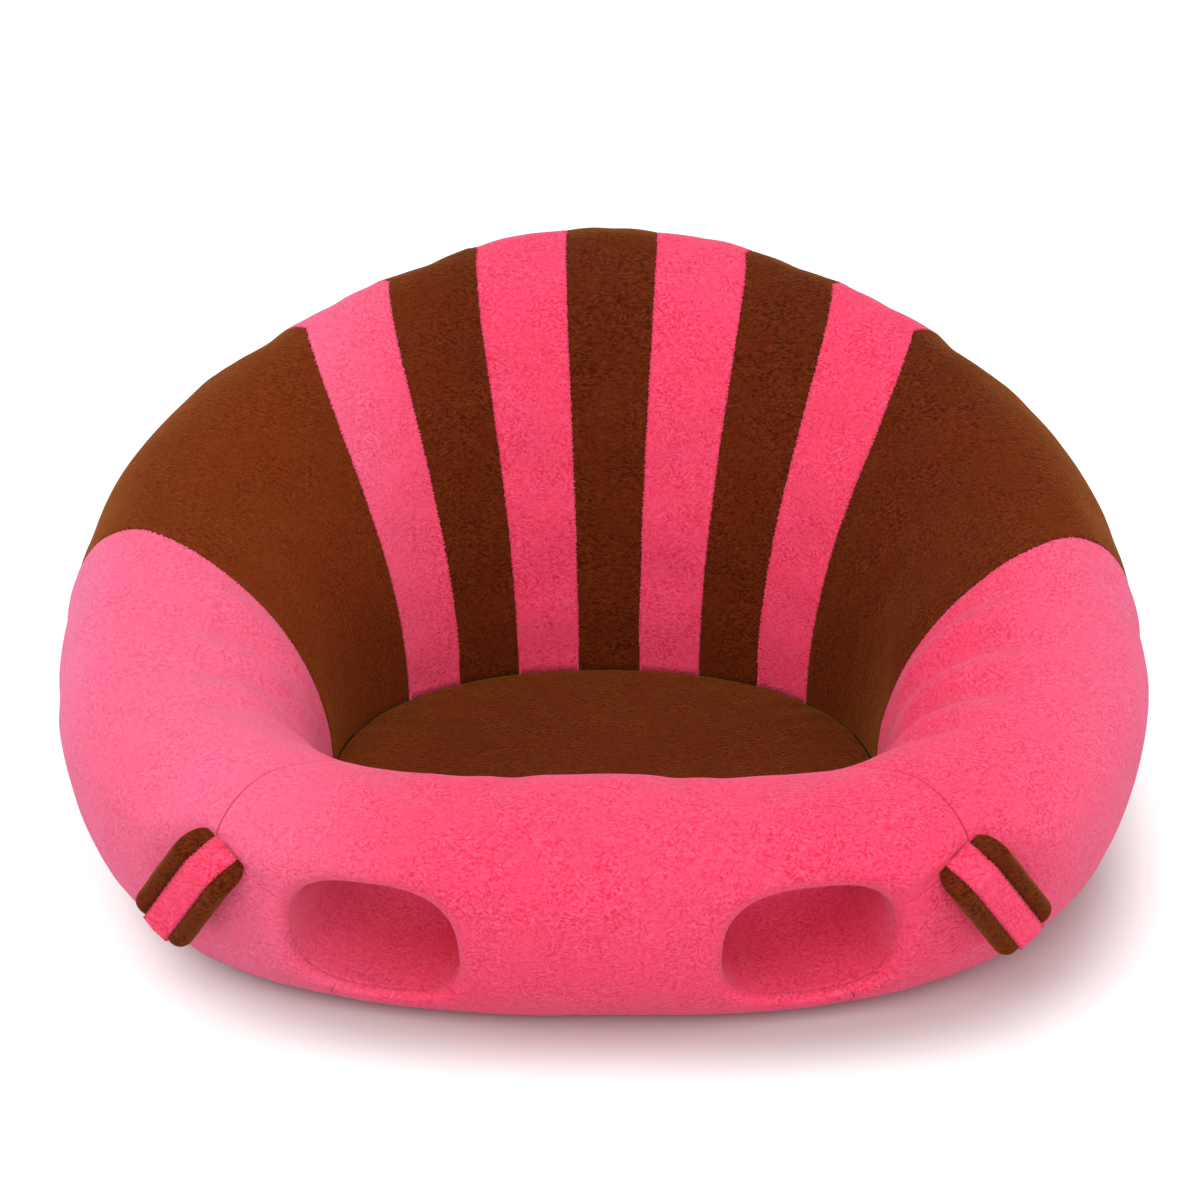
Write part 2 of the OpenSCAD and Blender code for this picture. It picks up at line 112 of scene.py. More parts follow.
def unit(vectors: Array) -> Array:
    """Vectors drawn in or out to length 1."""
    return vectors / np.maximum(np.linalg.norm(vectors, axis=-1, keepdims=True), 1e-12)


def spread(spots: Array, path: Array, *lines: Array) -> list[Array]:
    """Places on lines that run along a path, at distances walked along that path."""
    steps = np.linalg.norm(np.diff(path, axis=0), axis=1)
    walked = np.concatenate([[0], np.cumsum(steps)])
    return [np.stack([np.interp(spots, walked, column) for column in line.T], -1)
            for line in lines]


def walk_length(path: Array) -> float:
    """Length of a path."""
    return np.cumsum(np.linalg.norm(np.diff(path, axis=0), axis=1))[-1]


def new_object(name: str, data: bpy.types.ID) -> bpy.types.Object:
    """An object with that data, linked to the scene."""
    made = bpy.data.objects.new(name, data)
    bpy.context.scene.collection.objects.link(made)
    return made


def roll_depth(distance: Array, radius: float) -> Array:
    """How far a quarter round of that radius has dropped, at a distance in from its end.

    Args:
        distance: distance from the end, where the drop is the whole radius.
        radius: radius of the round.

    Returns:
        The drop, which is 0 from one radius on.
    """
    left = np.clip(1 - distance / radius, 0, 1)
    return radius * (1 - np.sqrt(1 - left * left))


@dataclass(frozen=True)
class CubicSpan:
    """A smooth curve through values at given places, level at both ends."""

    places: Sequence[float]
    values: Sequence[float]

    def at(self, place: Array) -> Array:
        """Height of the curve at places."""
        x, y = np.array(self.places, float), np.array(self.values, float)
        slope = np.gradient(y, x)
        slope[[0, -1]] = 0
        cell = np.clip(np.searchsorted(x, place, side="right") - 1, 0, len(x) - 2)
        wide = x[cell + 1] - x[cell]
        t = (place - x[cell]) / wide
        return (y[cell] * (1 + 2 * t) * (1 - t) ** 2 + y[cell + 1] * t * t * (3 - 2 * t)
                + wide * t * (1 - t) * (slope[cell] * (1 - t) - slope[cell + 1] * t))


def lumps(points: Array, size: float, seed: float) -> Array:
    """Soft noise from -1 to 1.

    Args:
        points: array that ends in x, y, z.
        size: size of a lump.
        seed: shift that gives another pattern.

    Returns:
        One value for each point.
    """
    flat = points.reshape(-1, 3) / size + seed
    values = np.fromiter((noise.noise(Vector(p)) for p in flat), float, len(flat))
    return values.reshape(points.shape[:-1])


@dataclass(frozen=True)
class Uneven:
    """Soft lumps of one size.

    Attributes:
        size: size of a lump.
        height: how far the lumps stand out or in.
        seed: shift that gives another pattern.
    """

    size: float
    height: float
    seed: float

    def at(self, points: Array) -> Array:
        """How far the lumps stand out at points."""
        return lumps(points, self.size, self.seed) * self.height


def sewn_spots(width: float, cell: float, first: float, growth: float = 1.35) -> Array:
    """Places across a panel, close together at its two seams and even between them.

    Args:
        width: width of the panel.
        cell: distance between places away from the seams.
        first: distance of the first place from a seam.
        growth: how much each next distance grows.

    Returns:
        Places as shares of the width, from 0 to 1.
    """
    near = [0.0]
    gap = first
    while gap < cell and near[-1] + gap < width / 3:
        near.append(near[-1] + gap)
        gap *= growth
    near = np.array(near)
    count = max(2, round((width - 2 * near[-1]) / cell))
    middle = np.linspace(near[-1], width - near[-1], count + 1)[1:-1]
    return np.concatenate([near, middle, width - near[::-1]]) / width


# -------- meshes


@dataclass
class Skin:
    """A surface of points and faces, whose faces turn outward anticlockwise.

    Attributes:
        points: array of points.
        faces: point numbers of each face.
    """

    points: Array
    faces: list[tuple[int, ...]]

    @classmethod
    def of_grid(cls, grid: Array, round_columns: bool = False) -> "Skin":
        """Skin over a grid of columns and rows, which faces along column cross row.

        Args:
            grid: array of columns, rows and x, y, z.
            round_columns: whether the last column joins the first.

        Returns:
            The skin.
        """
        columns, rows = grid.shape[:2]
        last = columns if round_columns else columns - 1
        j, i = np.meshgrid(np.arange(last), np.arange(rows - 1), indexing="ij")
        a = (j * rows + i).ravel()
        b = ((j + 1) % columns * rows + i).ravel()
        faces = np.stack([a, b, b + 1, a + 1], -1)
        return cls(grid.reshape(-1, 3).copy(), [tuple(f) for f in faces.tolist()])

    def normals(self) -> Array:
        """Unit normal of each point."""
        total = np.zeros_like(self.points)
        for size in {len(f) for f in self.faces}:
            ring = np.array([f for f in self.faces if len(f) == size])
            corners = self.points[ring]
            area = sum(np.cross(corners[:, k], corners[:, (k + 1) % size]) for k in range(size))
            for k in range(size):
                np.add.at(total, ring[:, k], area)
        return unit(total)

    def cut(self, field_at: Array) -> tuple["Skin", Array]:
        """The part of the skin where a field is positive, cut along its zero line.

        Args:
            field_at: the field's value at each point.

        Returns:
            The kept skin, and the numbers of its points on the cut.
        """
        points = list(self.points)
        crossing: dict[tuple[int, int], int] = {}
        faces = []
        inside = field_at > 0
        for face in self.faces:
            flags = [inside[v] for v in face]
            if all(flags):
                faces.append(face)
                continue
            if not any(flags):
                continue
            kept = []
            for k, v in enumerate(face):
                w = face[(k + 1) % len(face)]
                if inside[v]:
                    kept.append(v)
                if inside[v] != inside[w]:
                    key = (min(v, w), max(v, w))
                    if key not in crossing:
                        share = field_at[v] / (field_at[v] - field_at[w])
                        crossing[key] = len(points)
                        points.append(mix(self.points[v], self.points[w], share))
                    kept.append(crossing[key])
            faces.append(tuple(kept))
        used = np.unique(np.concatenate([np.array(f) for f in faces]))
        place = np.full(len(points), -1)
        place[used] = np.arange(len(used))
        skin = Skin(np.array(points)[used], [tuple(place[list(f)].tolist()) for f in faces])
        return skin, place[list(crossing.values())]

    def extended(self, edge: Array, rows: Sequence[Array]) -> "Skin":
        """The skin with strips added along a free edge.

        Args:
            edge: numbers of the points on that edge.
            rows: for each new row, its points in the same order.

        Returns:
            The longer skin.
        """
        order = {int(v): k for k, v in enumerate(edge)}
        sides = {(face[k], face[(k + 1) % len(face)]) for face in self.faces
                 for k in range(len(face)) if face[k] in order}
        free = [(v, w) for v, w in sides if w in order and (w, v) not in sides]
        points, faces, start = [self.points], list(self.faces), len(self.points)
        before = {int(v): int(v) for v in edge}
        for row in rows:
            after = {v: start + k for v, k in order.items()}
            faces += [(before[w], before[v], after[v], after[w]) for v, w in sorted(free)]
            points.append(row)
            start += len(row)
            before = after
        return Skin(np.concatenate(points), faces)

    def thickened(self, depth: float) -> "Skin":
        """A closed shell with this skin as its outer face.

        Args:
            depth: thickness, measured inward.

        Returns:
            The shell.
        """
        count = len(self.points)
        inner = self.points - self.normals() * depth
        once: dict[tuple[int, int], int] = {}
        for face in self.faces:
            for k, v in enumerate(face):
                w = face[(k + 1) % len(face)]
                once[(v, w)] = once.get((v, w), 0) + 1
        rim = [(v, w) for (v, w) in once if (w, v) not in once]
        faces = list(self.faces)
        faces += [tuple(v + count for v in reversed(face)) for face in self.faces]
        faces += [(w, v, v + count, w + count) for v, w in rim]
        return Skin(np.concatenate([self.points, inner]), faces)

    def object(self, name: str) -> bpy.types.Object:
        """A Blender object of the skin, shaded smooth."""
        mesh = bpy.data.meshes.new(name)
        mesh.from_pydata(self.points.tolist(), [], self.faces)
        mesh.validate()
        mesh.shade_smooth()
        return new_object(name, mesh)


def joined(skins: Sequence[Skin]) -> Skin:
    """Several skins as one."""
    points, faces, start = [], [], 0
    for skin in skins:
        points.append(skin.points)
        faces += [tuple(v + start for v in face) for face in skin.faces]
        start += len(skin.points)
    return Skin(np.concatenate(points), faces)


def thread(path: Array, radius: float, sides: int = 6, end: float = 0.25) -> Skin:
    """A short thread along a path, with its ends drawn in.

    Args:
        path: points along its middle.
        radius: radius of the thread.
        sides: sides of its section.
        end: radius of its two ends, as a share of the radius.

    Returns:
        The thread's skin.
    """
    ahead = unit(np.gradient(path, axis=0))
    helper = np.eye(3)[np.argmin(np.abs(ahead).max(axis=0))]
    side = unit(np.cross(ahead, helper))
    up = np.cross(ahead, side)
    turn = circle(sides)[:, None, None]
    share = np.linspace(-1, 1, len(path))
    swell = radius * np.maximum(end, np.sqrt(np.maximum(0, 1 - share ** 4)))[None, :, None]
    grid = path[None] + swell * (np.cos(turn) * side[None] + np.sin(turn) * up[None])
    rows = len(path)
    skin = Skin.of_grid(grid[::-1], round_columns=True)
    skin.faces += [tuple(j * rows for j in range(sides))[::-1],
                   tuple(j * rows + rows - 1 for j in range(sides))]
    return skin


# -------- finishes


class Nodes:
    """Short ways to add nodes to a node tree."""

    def __init__(self, tree: bpy.types.NodeTree):
        """Keeps the tree that nodes are added to."""
        self.tree = tree

    def feed(self, socket: Socket, value: Input) -> None:
        """Links an input to a socket, or sets it to a number or colour."""
        if isinstance(value, Socket):
            self.tree.links.new(value, socket)
        elif socket.type == "RGBA" and len(value) == 3:
            socket.default_value = (*value, 1.0)
        else:
            socket.default_value = value

    def put(self, node: bpy.types.Node, **values: Input) -> None:
        """Feeds inputs of a node, each by its name with _ for a space."""
        for key, value in values.items():
            self.feed(node.inputs[key.replace("_", " ")], value)

    def add(self, kind: str, **values: Input | str) -> bpy.types.Node:
        """Adds a node.

        Args:
            kind: the node's type, without its ShaderNode.
            **values: properties by name, and inputs by their name with _ for a space.

        Returns:
            The node.
        """
        node = self.tree.nodes.new("ShaderNode" + kind)
        for key, value in values.items():
            if hasattr(node, key):
                setattr(node, key, value)
            else:
                self.put(node, **{key: value})
        return node

    def math(self, operation: str, *values: Input) -> Socket:
        """Result of a maths node on sockets or numbers."""
        node = self.add("Math", operation=operation)
        for socket, value in zip(node.inputs, values):
            self.feed(socket, value)
        return node.outputs[0]

    def vector(self, operation: str, first: Input, second: Input = (0.0, 0.0, 0.0)) -> Socket:
        """Result of a vector node on sockets or fixed numbers."""
        node = self.add("VectorMath", operation=operation)
        self.feed(node.inputs[0], first)
        self.feed(node.inputs["Scale" if operation == "SCALE" else 1], second)
        return node.outputs["Value" if operation == "DOT_PRODUCT" else "Vector"]

    def ramp(self, value: Socket, low: float, high: float) -> Socket:
        """Value taken from low..high to 0..1 with soft ends."""
        return self.add("MapRange", interpolation_type="SMOOTHSTEP", Value=value, From_Min=low,
                        From_Max=high).outputs["Result"]

    def tint(self, share: Input, first: Input, second: Input, blend: str = "MIX") -> Socket:
        """Colour between two colours or colour sockets, or their sum where blend is ADD."""
        node = self.add("Mix", data_type="RGBA", blend_type=blend, clamp_factor=blend == "MIX")
        for number, value in zip((0, 6, 7), (share, first, second)):
            self.feed(node.inputs[number], value)
        return node.outputs[2]


def new_group(name: str, inputs: dict[str, float], outputs: Sequence[str]) -> tuple[
        bpy.types.NodeTree, Nodes, bpy.types.NodeOutputs, bpy.types.Node]:
    """Starts a shader node group that works on object coordinates.

    Args:
        name: the group's name.
        inputs: name and first value of each number that goes in.
        outputs: names of the numbers that come out.

    Returns:
        The group, its Nodes helper, its input sockets by name and its output node.
    """
    group = bpy.data.node_groups.new(name, "ShaderNodeTree")
    for key, value in inputs.items():
        socket = group.interface.new_socket(key, in_out="INPUT", socket_type="NodeSocketFloat")
        socket.default_value = value
    for key in outputs:
        group.interface.new_socket(key, in_out="OUTPUT", socket_type="NodeSocketFloat")
    nodes = Nodes(group)
    given = group.nodes.new("NodeGroupInput")
    result = group.nodes.new("NodeGroupOutput")
    return group, nodes, given.outputs, result


@dataclass(frozen=True)
class PileLook:
    """How plush pile is brushed into tufts.

    Scales are lumps per width of a stroke, and those of patches and broad tones per metre.
    """

    tufts: float = 0.26
    edges: float = 0.25
    ragged: float = 4.6
    drawn_out: float = 0.29
    contrast: float = 2.6
    patches: float = 60.0
    patch_ends: Pair = (0.35, 0.62)
    pits: float = 0.6
    pit_ends: Pair = (0.66, 0.78)
    fibres: float = 1.9
    fibre_height: float = 0.3
    broad: float = 13.0


@cache
def pile_group() -> bpy.types.NodeTree:
    """Short plush pile, brushed into small tufts.

    Its inputs are the width of the tufts' strokes in metres, how far broad tones differ, and by
    how many radians the tufts turn away from X. It puts out the pile's height and how pale the
    fibre tips are.
    """
    look = PileLook()
    group, n, given, result = new_group(
        "plush_pile", {"Pitch": 0.001, "Tones": 0.25, "Turning": 2 * math.pi}, ["Height", "Tips"])
    place = n.add("TexCoord").outputs["Object"]
    per_pitch = n.math("DIVIDE", 1.0, given["Pitch"])

    def cloud(per_metre: Input, detail: float, output: str = "Fac") -> Socket:
        """Noise with some lumps per metre."""
        node = n.add("TexNoise", Detail=detail, Vector=place, Scale=per_metre)
        return node.outputs[output]

    # Each tuft is a cell with ragged edges, in which the strokes share one direction
    ragged = n.vector("SCALE", cloud(n.math("MULTIPLY", per_pitch, look.edges), 1.0, "Color"),
                      n.math("MULTIPLY", given["Pitch"], look.ragged))
    tuft = n.add("TexVoronoi", Vector=n.vector("ADD", place, ragged),
                 Scale=n.math("MULTIPLY", per_pitch, look.tufts))
    either_way = n.vector("SUBTRACT", tuft.outputs["Color"], (0.5, 0.5, 0.5))
    lay = n.vector("ADD", n.vector("SCALE", either_way, given["Turning"]),
                   (0.0, math.pi / 2, 0.0))
    turned = n.add("VectorRotate", rotation_type="EULER_XYZ", Vector=place, Rotation=lay)
    along = n.vector("MULTIPLY", turned.outputs[0], (1.0, 1.0, look.drawn_out))
    strands = n.add("TexNoise", Detail=1.0, Scale=1.0, Vector=n.vector("SCALE", along, per_pitch))
    rough = n.ramp(cloud(look.patches, 2.0), *look.patch_ends)
    patch = n.math("ADD", 0.5, n.math("MULTIPLY", rough, 0.5))
    strokes = n.math("MULTIPLY", n.math("SUBTRACT", strands.outputs["Fac"], 0.5), look.contrast)
    pits = n.ramp(cloud(n.math("MULTIPLY", per_pitch, look.pits), 0.0), *look.pit_ends)
    worked = n.math("MULTIPLY", n.math("SUBTRACT", strokes, n.math("MULTIPLY", pits, 0.5)), patch)
    worked = n.math("ADD", worked, 0.5)
    fibre = n.math("SUBTRACT", cloud(n.math("MULTIPLY", per_pitch, look.fibres), 1.0), 0.5)
    tones = n.math("SUBTRACT", cloud(look.broad, 3.0), 0.5)
    tips = n.math("ADD", n.math("MULTIPLY", fibre, 0.5),
                  n.math("MULTIPLY", tones, given["Tones"]))
    n.put(result, Height=n.math("ADD", worked, n.math("MULTIPLY", fibre, look.fibre_height)),
          Tips=n.math("ADD", worked, tips))
    return group


@cache
def weave_group() -> bpy.types.NodeTree:
    """Plain weave of two sets of threads, with some uneven ones.

    Its input is the distance between threads in metres. It puts out the threads' height and a
    tone that differs a little from thread to thread.
    """
    group, n, given, result = new_group("plain_weave", {"Thread": 0.0008}, ["Height", "Tone"])
    split = n.add("SeparateXYZ", Vector=n.add("TexCoord").outputs["Object"])
    turn = n.math("DIVIDE", 2 * math.pi, given["Thread"])
    across, along = (n.math("SINE", n.math("MULTIPLY", split.outputs[axis], turn))
                     for axis in ("X", "Y"))
    uneven = n.add("TexNoise", Scale=WEAVE_LUMPS, Detail=3.0).outputs["Fac"]
    height = n.math("ADD", n.math("MULTIPLY", n.math("MULTIPLY", across, along), 0.5), 0.5)
    n.put(result, Height=n.math("ADD", height, n.math("MULTIPLY", uneven, 0.5)),
          Tone=n.math("MULTIPLY", n.math("ADD", height, uneven), 0.5))
    return group


def group_node(nodes: Nodes, maker: Callable, **values: float) -> bpy.types.Node:
    """A node of a shared group.

    Args:
        nodes: where the node goes.
        maker: function that gives the group.
        **values: values of its inputs.

    Returns:
        The node.
    """
    node = nodes.tree.nodes.new("ShaderNodeGroup")
    node.node_tree = maker()
    nodes.put(node, **values)
    return node


def new_material(name: str) -> tuple[bpy.types.Material, Nodes, bpy.types.Node]:
    """Starts a material.

    Args:
        name: the material's name.

    Returns:
        The material, its Nodes helper and its Principled BSDF.
    """
    material = bpy.data.materials.new(name)
    material.use_nodes = True
    tree = material.node_tree
    return material, Nodes(tree), tree.nodes["Principled BSDF"]


@dataclass(frozen=True)
class Plush:
    """Short-pile plush.

    Attributes:
        deep: colour between the fibres.
        pale: colour of the fibre tips.
        sheen: colour of the pile seen along the surface.
        lift: colour added as painted light on the seat's left side, as if lit from there,
        and as painted sheen at both outer rims.
        sheen_weight: strength of that sheen.
        pitch: width of the pile's strokes.
        relief: height of the pile's strokes.
        turning: how far the tufts turn away from the seat's X.
    """

    name: str
    deep: Colour
    pale: Colour
    sheen: Colour
    lift: Colour
    sheen_weight: float = 0.28
    sheen_roughness: float = 0.42
    pitch: float = 0.00098
    relief: float = 0.00035
    bump: float = 0.72
    turning: float = 2 * math.pi
    roughness: float = 0.95
    specular: float = 0.1

    def material(self) -> bpy.types.Material:
        """Builds the finish."""
        material, n, shader = new_material(self.name)
        pile = group_node(n, pile_group, Pitch=self.pitch, Turning=self.turning)
        bump = n.add("Bump", Strength=self.bump, Distance=self.relief,
                     Height=pile.outputs["Height"])
        across = n.add("SeparateXYZ", Vector=n.add("TexCoord").outputs["Object"]).outputs["X"]
        plain = n.tint(pile.outputs["Tips"], self.deep, self.pale)
        # Painted light on the left side, as if lit from there, and painted sheen at both outer
        # rims
        rims = n.math("ADD", n.ramp(across, *RIGHT_RIM_PAINTED_SHEEN), n.ramp(across, *LEFT_RIM_PAINTED_SHEEN))
        lie = n.math("ADD", n.ramp(across, *PAINTED_LIGHT_SIDE), n.math("MULTIPLY", rims, PAINTED_SHEEN_SHARE))
        n.put(shader, Base_Color=n.tint(lie, plain, self.lift, "ADD"),
              Normal=bump.outputs["Normal"], Roughness=self.roughness,
              Specular_IOR_Level=self.specular, Sheen_Weight=self.sheen_weight,
              Sheen_Roughness=self.sheen_roughness, Sheen_Tint=self.sheen)
        return material


@dataclass(frozen=True)
class Cloth:
    """Plain woven cloth or tape.

    Attributes:
        deep: colour between the threads.
        pale: colour of the threads.
        thread: distance between threads.
        roughness: roughness of the threads.
    """

    name: str
    deep: Colour
    pale: Colour
    thread: float
    roughness: float = 0.85
    bump: float = 0.6
    sheen: float = 0.15

    def material(self) -> bpy.types.Material:
        """Builds the finish."""
        material, n, shader = new_material(self.name)
        weave = group_node(n, weave_group, Thread=self.thread)
        bump = n.add("Bump", Strength=self.bump, Distance=self.thread / 4,
                     Height=weave.outputs["Height"])
        n.put(shader, Base_Color=n.tint(weave.outputs["Tone"], self.deep, self.pale),
              Normal=bump.outputs["Normal"], Roughness=self.roughness, Sheen_Weight=self.sheen)
        return material


@dataclass(frozen=True)
class Moulded:
    """Moulded plastic or rubber with a faint grain.

    Attributes:
        colour: its colour.
        roughness: mean roughness.
        uneven: by how much the roughness differs.
        grain: height of the grain.
    """

    name: str
    colour: Colour
    roughness: float
    uneven: float = 0.2
    paler: float = 1.35
    spots: float = 60.0
    grain: float = 0.00004
    grains: float = 2500.0
    bump: float = 0.5

    def material(self) -> bpy.types.Material:
        """Builds the finish."""
        material, n, shader = new_material(self.name)
        cloud = n.add("TexNoise", Scale=self.grains, Detail=3.0).outputs["Fac"]
        worn = n.add("TexNoise", Scale=self.spots, Detail=4.0).outputs["Fac"]
        pale = tuple(min(1.0, self.paler * c + 0.01) for c in self.colour)
        rough = n.math("ADD", self.roughness - self.uneven / 2,
                       n.math("MULTIPLY", worn, self.uneven))
        bump = n.add("Bump", Strength=self.bump, Distance=self.grain, Height=cloud)
        n.put(shader, Base_Color=n.tint(worn, self.colour, pale), Roughness=rough,
              Normal=bump.outputs["Normal"])
        return material


@dataclass(frozen=True)
class Plated:
    """Nickel-plated metal with fine scratches.

    Attributes:
        colour: colour of the plating.
        roughness: least roughness, and how much rubbed spots add.
        bump: how strongly scratches show, and their depth.
    """

    name: str
    colour: Colour
    dulled: float = 0.6
    rubbed: float = 400.0
    roughness: Pair = (0.18, 0.25)
    bump: Pair = (0.3, 0.00003)

    def material(self) -> bpy.types.Material:
        """Builds the finish."""
        material, n, shader = new_material(self.name)
        rubbed = n.add("TexNoise", Scale=self.rubbed, Detail=5.0, Distortion=2.0).outputs["Fac"]
        dull = tuple(self.dulled * c for c in self.colour)
        least, more = self.roughness
        strength, depth = self.bump
        bump = n.add("Bump", Strength=strength, Distance=depth, Height=rubbed)
        n.put(shader, Base_Color=n.tint(rubbed, dull, self.colour), Metallic=1.0,
              Roughness=n.math("ADD", least, n.math("MULTIPLY", rubbed, more)),
              Normal=bump.outputs["Normal"])
        return material


# Where, across the seat, painted light starts to make the left side paler, as if lit from there
PAINTED_LIGHT_SIDE = (-0.05, -0.15)
# Where painted sheen turns it paler towards each outer rim, and its share of the left's painted
# light
RIGHT_RIM_PAINTED_SHEEN = (0.13, 0.24)
LEFT_RIM_PAINTED_SHEEN = (-0.195, -0.235)
PAINTED_SHEEN_SHARE = 0.9

NO_PAINTED_LIGHT = (0.0, 0.0, 0.0)
# lift: painted light on the left side, as if lit from there, and painted sheen at the outer rims
PINK = Plush("plush_pink", deep=(0.74, 0.026, 0.071), pale=(0.90, 0.094, 0.200),
             sheen=(1.0, 0.50, 0.72), lift=(0.0, 0.062, 0.096))
BROWN = Plush("plush_brown", deep=(0.050, 0.0052, 0.0006), pale=(0.152, 0.0235, 0.0026),
              sheen=(0.85, 0.33, 0.05), lift=(0.050, 0.009, 0.001), sheen_weight=0.30, turning=1.6)
TAB_PINK = replace(PINK, name="tab_pink", lift=NO_PAINTED_LIGHT)
TAB_BROWN = replace(BROWN, name="tab_brown", lift=NO_PAINTED_LIGHT)
FIBRE = Plush("fibre_filling", deep=(0.72, 0.7, 0.64), pale=(0.93, 0.92, 0.88),
              sheen=(1.0, 1.0, 1.0), lift=NO_PAINTED_LIGHT, sheen_weight=0.3, pitch=0.0035, relief=0.0015)
BASE_CLOTH = Cloth("base_cloth", (0.018, 0.012, 0.01), (0.06, 0.045, 0.04), 0.0011)
ZIP_TAPE = Cloth("zip_tape", (0.04, 0.013, 0.006), (0.12, 0.042, 0.02), 0.0007)
GRIP_RUBBER = Moulded("grip_rubber", (0.022, 0.018, 0.017), 0.6)
ZIP_TEETH = Moulded("zip_teeth", (0.085, 0.024, 0.009), 0.35)
ZIP_METAL = Plated("zip_metal", (0.62, 0.61, 0.6))
THREAD_PINK = Cloth("thread_pink", (0.42, 0.012, 0.05), (0.7, 0.04, 0.12), 0.0003)

Finish = Plush | Cloth | Moulded | Plated


@cache
def material_of(finish: Finish) -> bpy.types.Material:
    """The material of a finish, made once."""
    return finish.material()


def dress(piece: bpy.types.Object, finish: Finish) -> None:
    """Gives a piece a finish, in place of any material it has."""
    if not piece.material_slots:
        piece.data.materials.append(material_of(finish))
    for held in piece.material_slots:
        held.material = material_of(finish)


# -------- the ring's shape


@dataclass(frozen=True)
class RingForm:
    """Shape of the stuffed ring. A pair holds the value in front and the value behind."""

    width: float = 0.459
    reach: Pair = (0.202, 0.214)
    square: Pair = (2.5, 2.0)
    height: Pair = (0.097, 0.207)
    belly: Pair = (0.070, 0.094)
    crest: Pair = (0.034, 0.044)
    foot: Pair = (0.042, 0.060)
    wall: Pair = (0.107, 0.126)
    hang: Pair = (0.6, 0.45)
    arch: float = 0.47
    rise_start: float = 29.0
    rise_late: float = 1.2
    seat_height: float = 0.022
    belly_step: float = 3.0
    crest_step: float = 6.0
    last_step: float = 10.0
    halvings: int = 24

    @property
    def middle_y(self) -> float:
        """Where the angles start from, along Y."""
        return (self.reach[0] - self.reach[1]) / 2

    def turn(self, angle: Array) -> Array:
        """Angle from the front, the same on both sides."""
        wrapped = np.abs(np.asarray(angle, float))
        return np.where(wrapped > 180, 360 - wrapped, wrapped)

    def rise(self, angle: Array) -> Array:
        """How far the ring has risen, from 0 in front to 1 behind."""
        share = (self.turn(angle) - self.rise_start) / (180 - self.rise_start)
        return smooth(share) ** self.rise_late

    def outline(self, angle: Array) -> Array:
        """Distance of the outline from the middle."""
        side = np.abs(np.sin(np.radians(angle)))
        ahead = np.cos(np.radians(angle))
        reach = np.where(ahead > 0, *self.reach)
        power = np.where(ahead > 0, *self.square)
        inner = (side / (self.width / 2)) ** power + (np.abs(ahead) / reach) ** power
        return inner ** (-1 / power)

    def section(self, angle: Array, step: Array) -> tuple[Array, Array]:
        """Distance from the middle and height, at a step over the section.

        Args:
            angle: angles round the ring.
            step: steps over the section.

        Returns:
            Distances and heights.
        """
        rise = self.rise(angle)
        out = self.outline(angle)
        top, belly, hang = (mix(*pair, rise) for pair in (self.height, self.belly, self.hang))
        crest, foot, basin = (out - mix(*pair, rise)
                              for pair in (self.crest, self.foot, self.wall))
        low = np.radians(90 * np.clip(step / self.belly_step, 0, 1))
        up = np.radians(90 * np.clip(step / self.belly_step - 1, 0, 1))
        u = np.clip((step - self.crest_step) / (self.last_step - self.crest_step), 0, 1)
        reach = np.where(step <= self.belly_step, mix(foot, out, np.sin(low)),
                         mix(crest, out, np.cos(up)))
        height = np.where(step <= self.belly_step, mix(belly, 0, np.cos(low)),
                          mix(belly, top, np.sin(up)))
        pull = (1 - u) ** 3, 3 * (1 - u) ** 2 * u, 3 * (1 - u) * u * u, u ** 3
        wall_reach = (pull[0] * crest + pull[1] * mix(crest, basin, self.arch)
                      + (pull[2] + pull[3]) * basin)
        wall_height = ((pull[0] + pull[1]) * top + pull[2] * mix(self.seat_height, top, hang)
                       + pull[3] * self.seat_height)
        on_wall = step > self.crest_step
        return np.where(on_wall, wall_reach, reach), np.where(on_wall, wall_height, height)

    def outer_reach(self, angle: Array, height: Array) -> Array:
        """Distance of the ring's outside from the middle, at heights."""
        rise = self.rise(angle)
        out = self.outline(angle)
        top, belly = mix(*self.height, rise), mix(*self.belly, rise)
        low = np.arccos(np.clip(1 - height / belly, -1, 1))
        up = np.arcsin(np.clip((height - belly) / (top - belly), 0, 1))
        below = out - mix(*self.foot, rise) * (1 - np.sin(low))
        above = out - mix(*self.crest, rise) * (1 - np.cos(up))
        return np.where(height < belly, below, above)

    def wall_reach(self, angle: Array, height: Array) -> Array:
        """Distance of the basin's wall from the middle, at heights."""
        low = np.full(np.shape(height), self.crest_step)
        high = np.full(np.shape(height), self.last_step)
        for _ in range(self.halvings):
            step = (low + high) / 2
            reach, here = self.section(angle, step)
            low, high = np.where(here > height, step, low), np.where(here > height, high, step)
        return reach

    def beyond_surface(self, points: Array, at_front: Array) -> Array:
        """Whether points coming from the front are past the ring's outside, or past its wall.

        Args:
            points: the points.
            at_front: for which of them the ring's outside is meant.

        Returns:
            True or False for each point.
        """
        x, y = points[..., 0], points[..., 1] - self.middle_y
        angle = np.degrees(np.arctan2(x, -y))
        surface = np.where(at_front, self.outer_reach(angle, points[..., 2]),
                           self.wall_reach(angle, points[..., 2]))
        return np.hypot(x, y) < surface

    def point(self, angle: Array, step: Array) -> Array:
        """Points on the ring's plain surface."""
        reach, height = self.section(angle, step)
        turned = np.radians(angle)
        x, y = reach * np.sin(turned), self.middle_y - reach * np.cos(turned)
        return np.stack([x, y, height], -1)

    def normal(self, angle: Array, step: Array) -> Array:
        """Outward unit normals of the plain surface."""
        turn_by, step_by = 0.05, 0.01
        before = np.clip(step - step_by, 0, self.last_step)
        after = np.clip(step + step_by, 0, self.last_step)
        along = self.point(angle + turn_by, step) - self.point(angle - turn_by, step)
        over = self.point(angle, after) - self.point(angle, before)
        return unit(np.cross(along, over))


def on_left(angle: Array) -> Array:
    """Whether angles round the ring lie on its left side."""
    return np.asarray(angle) % 360 > 180


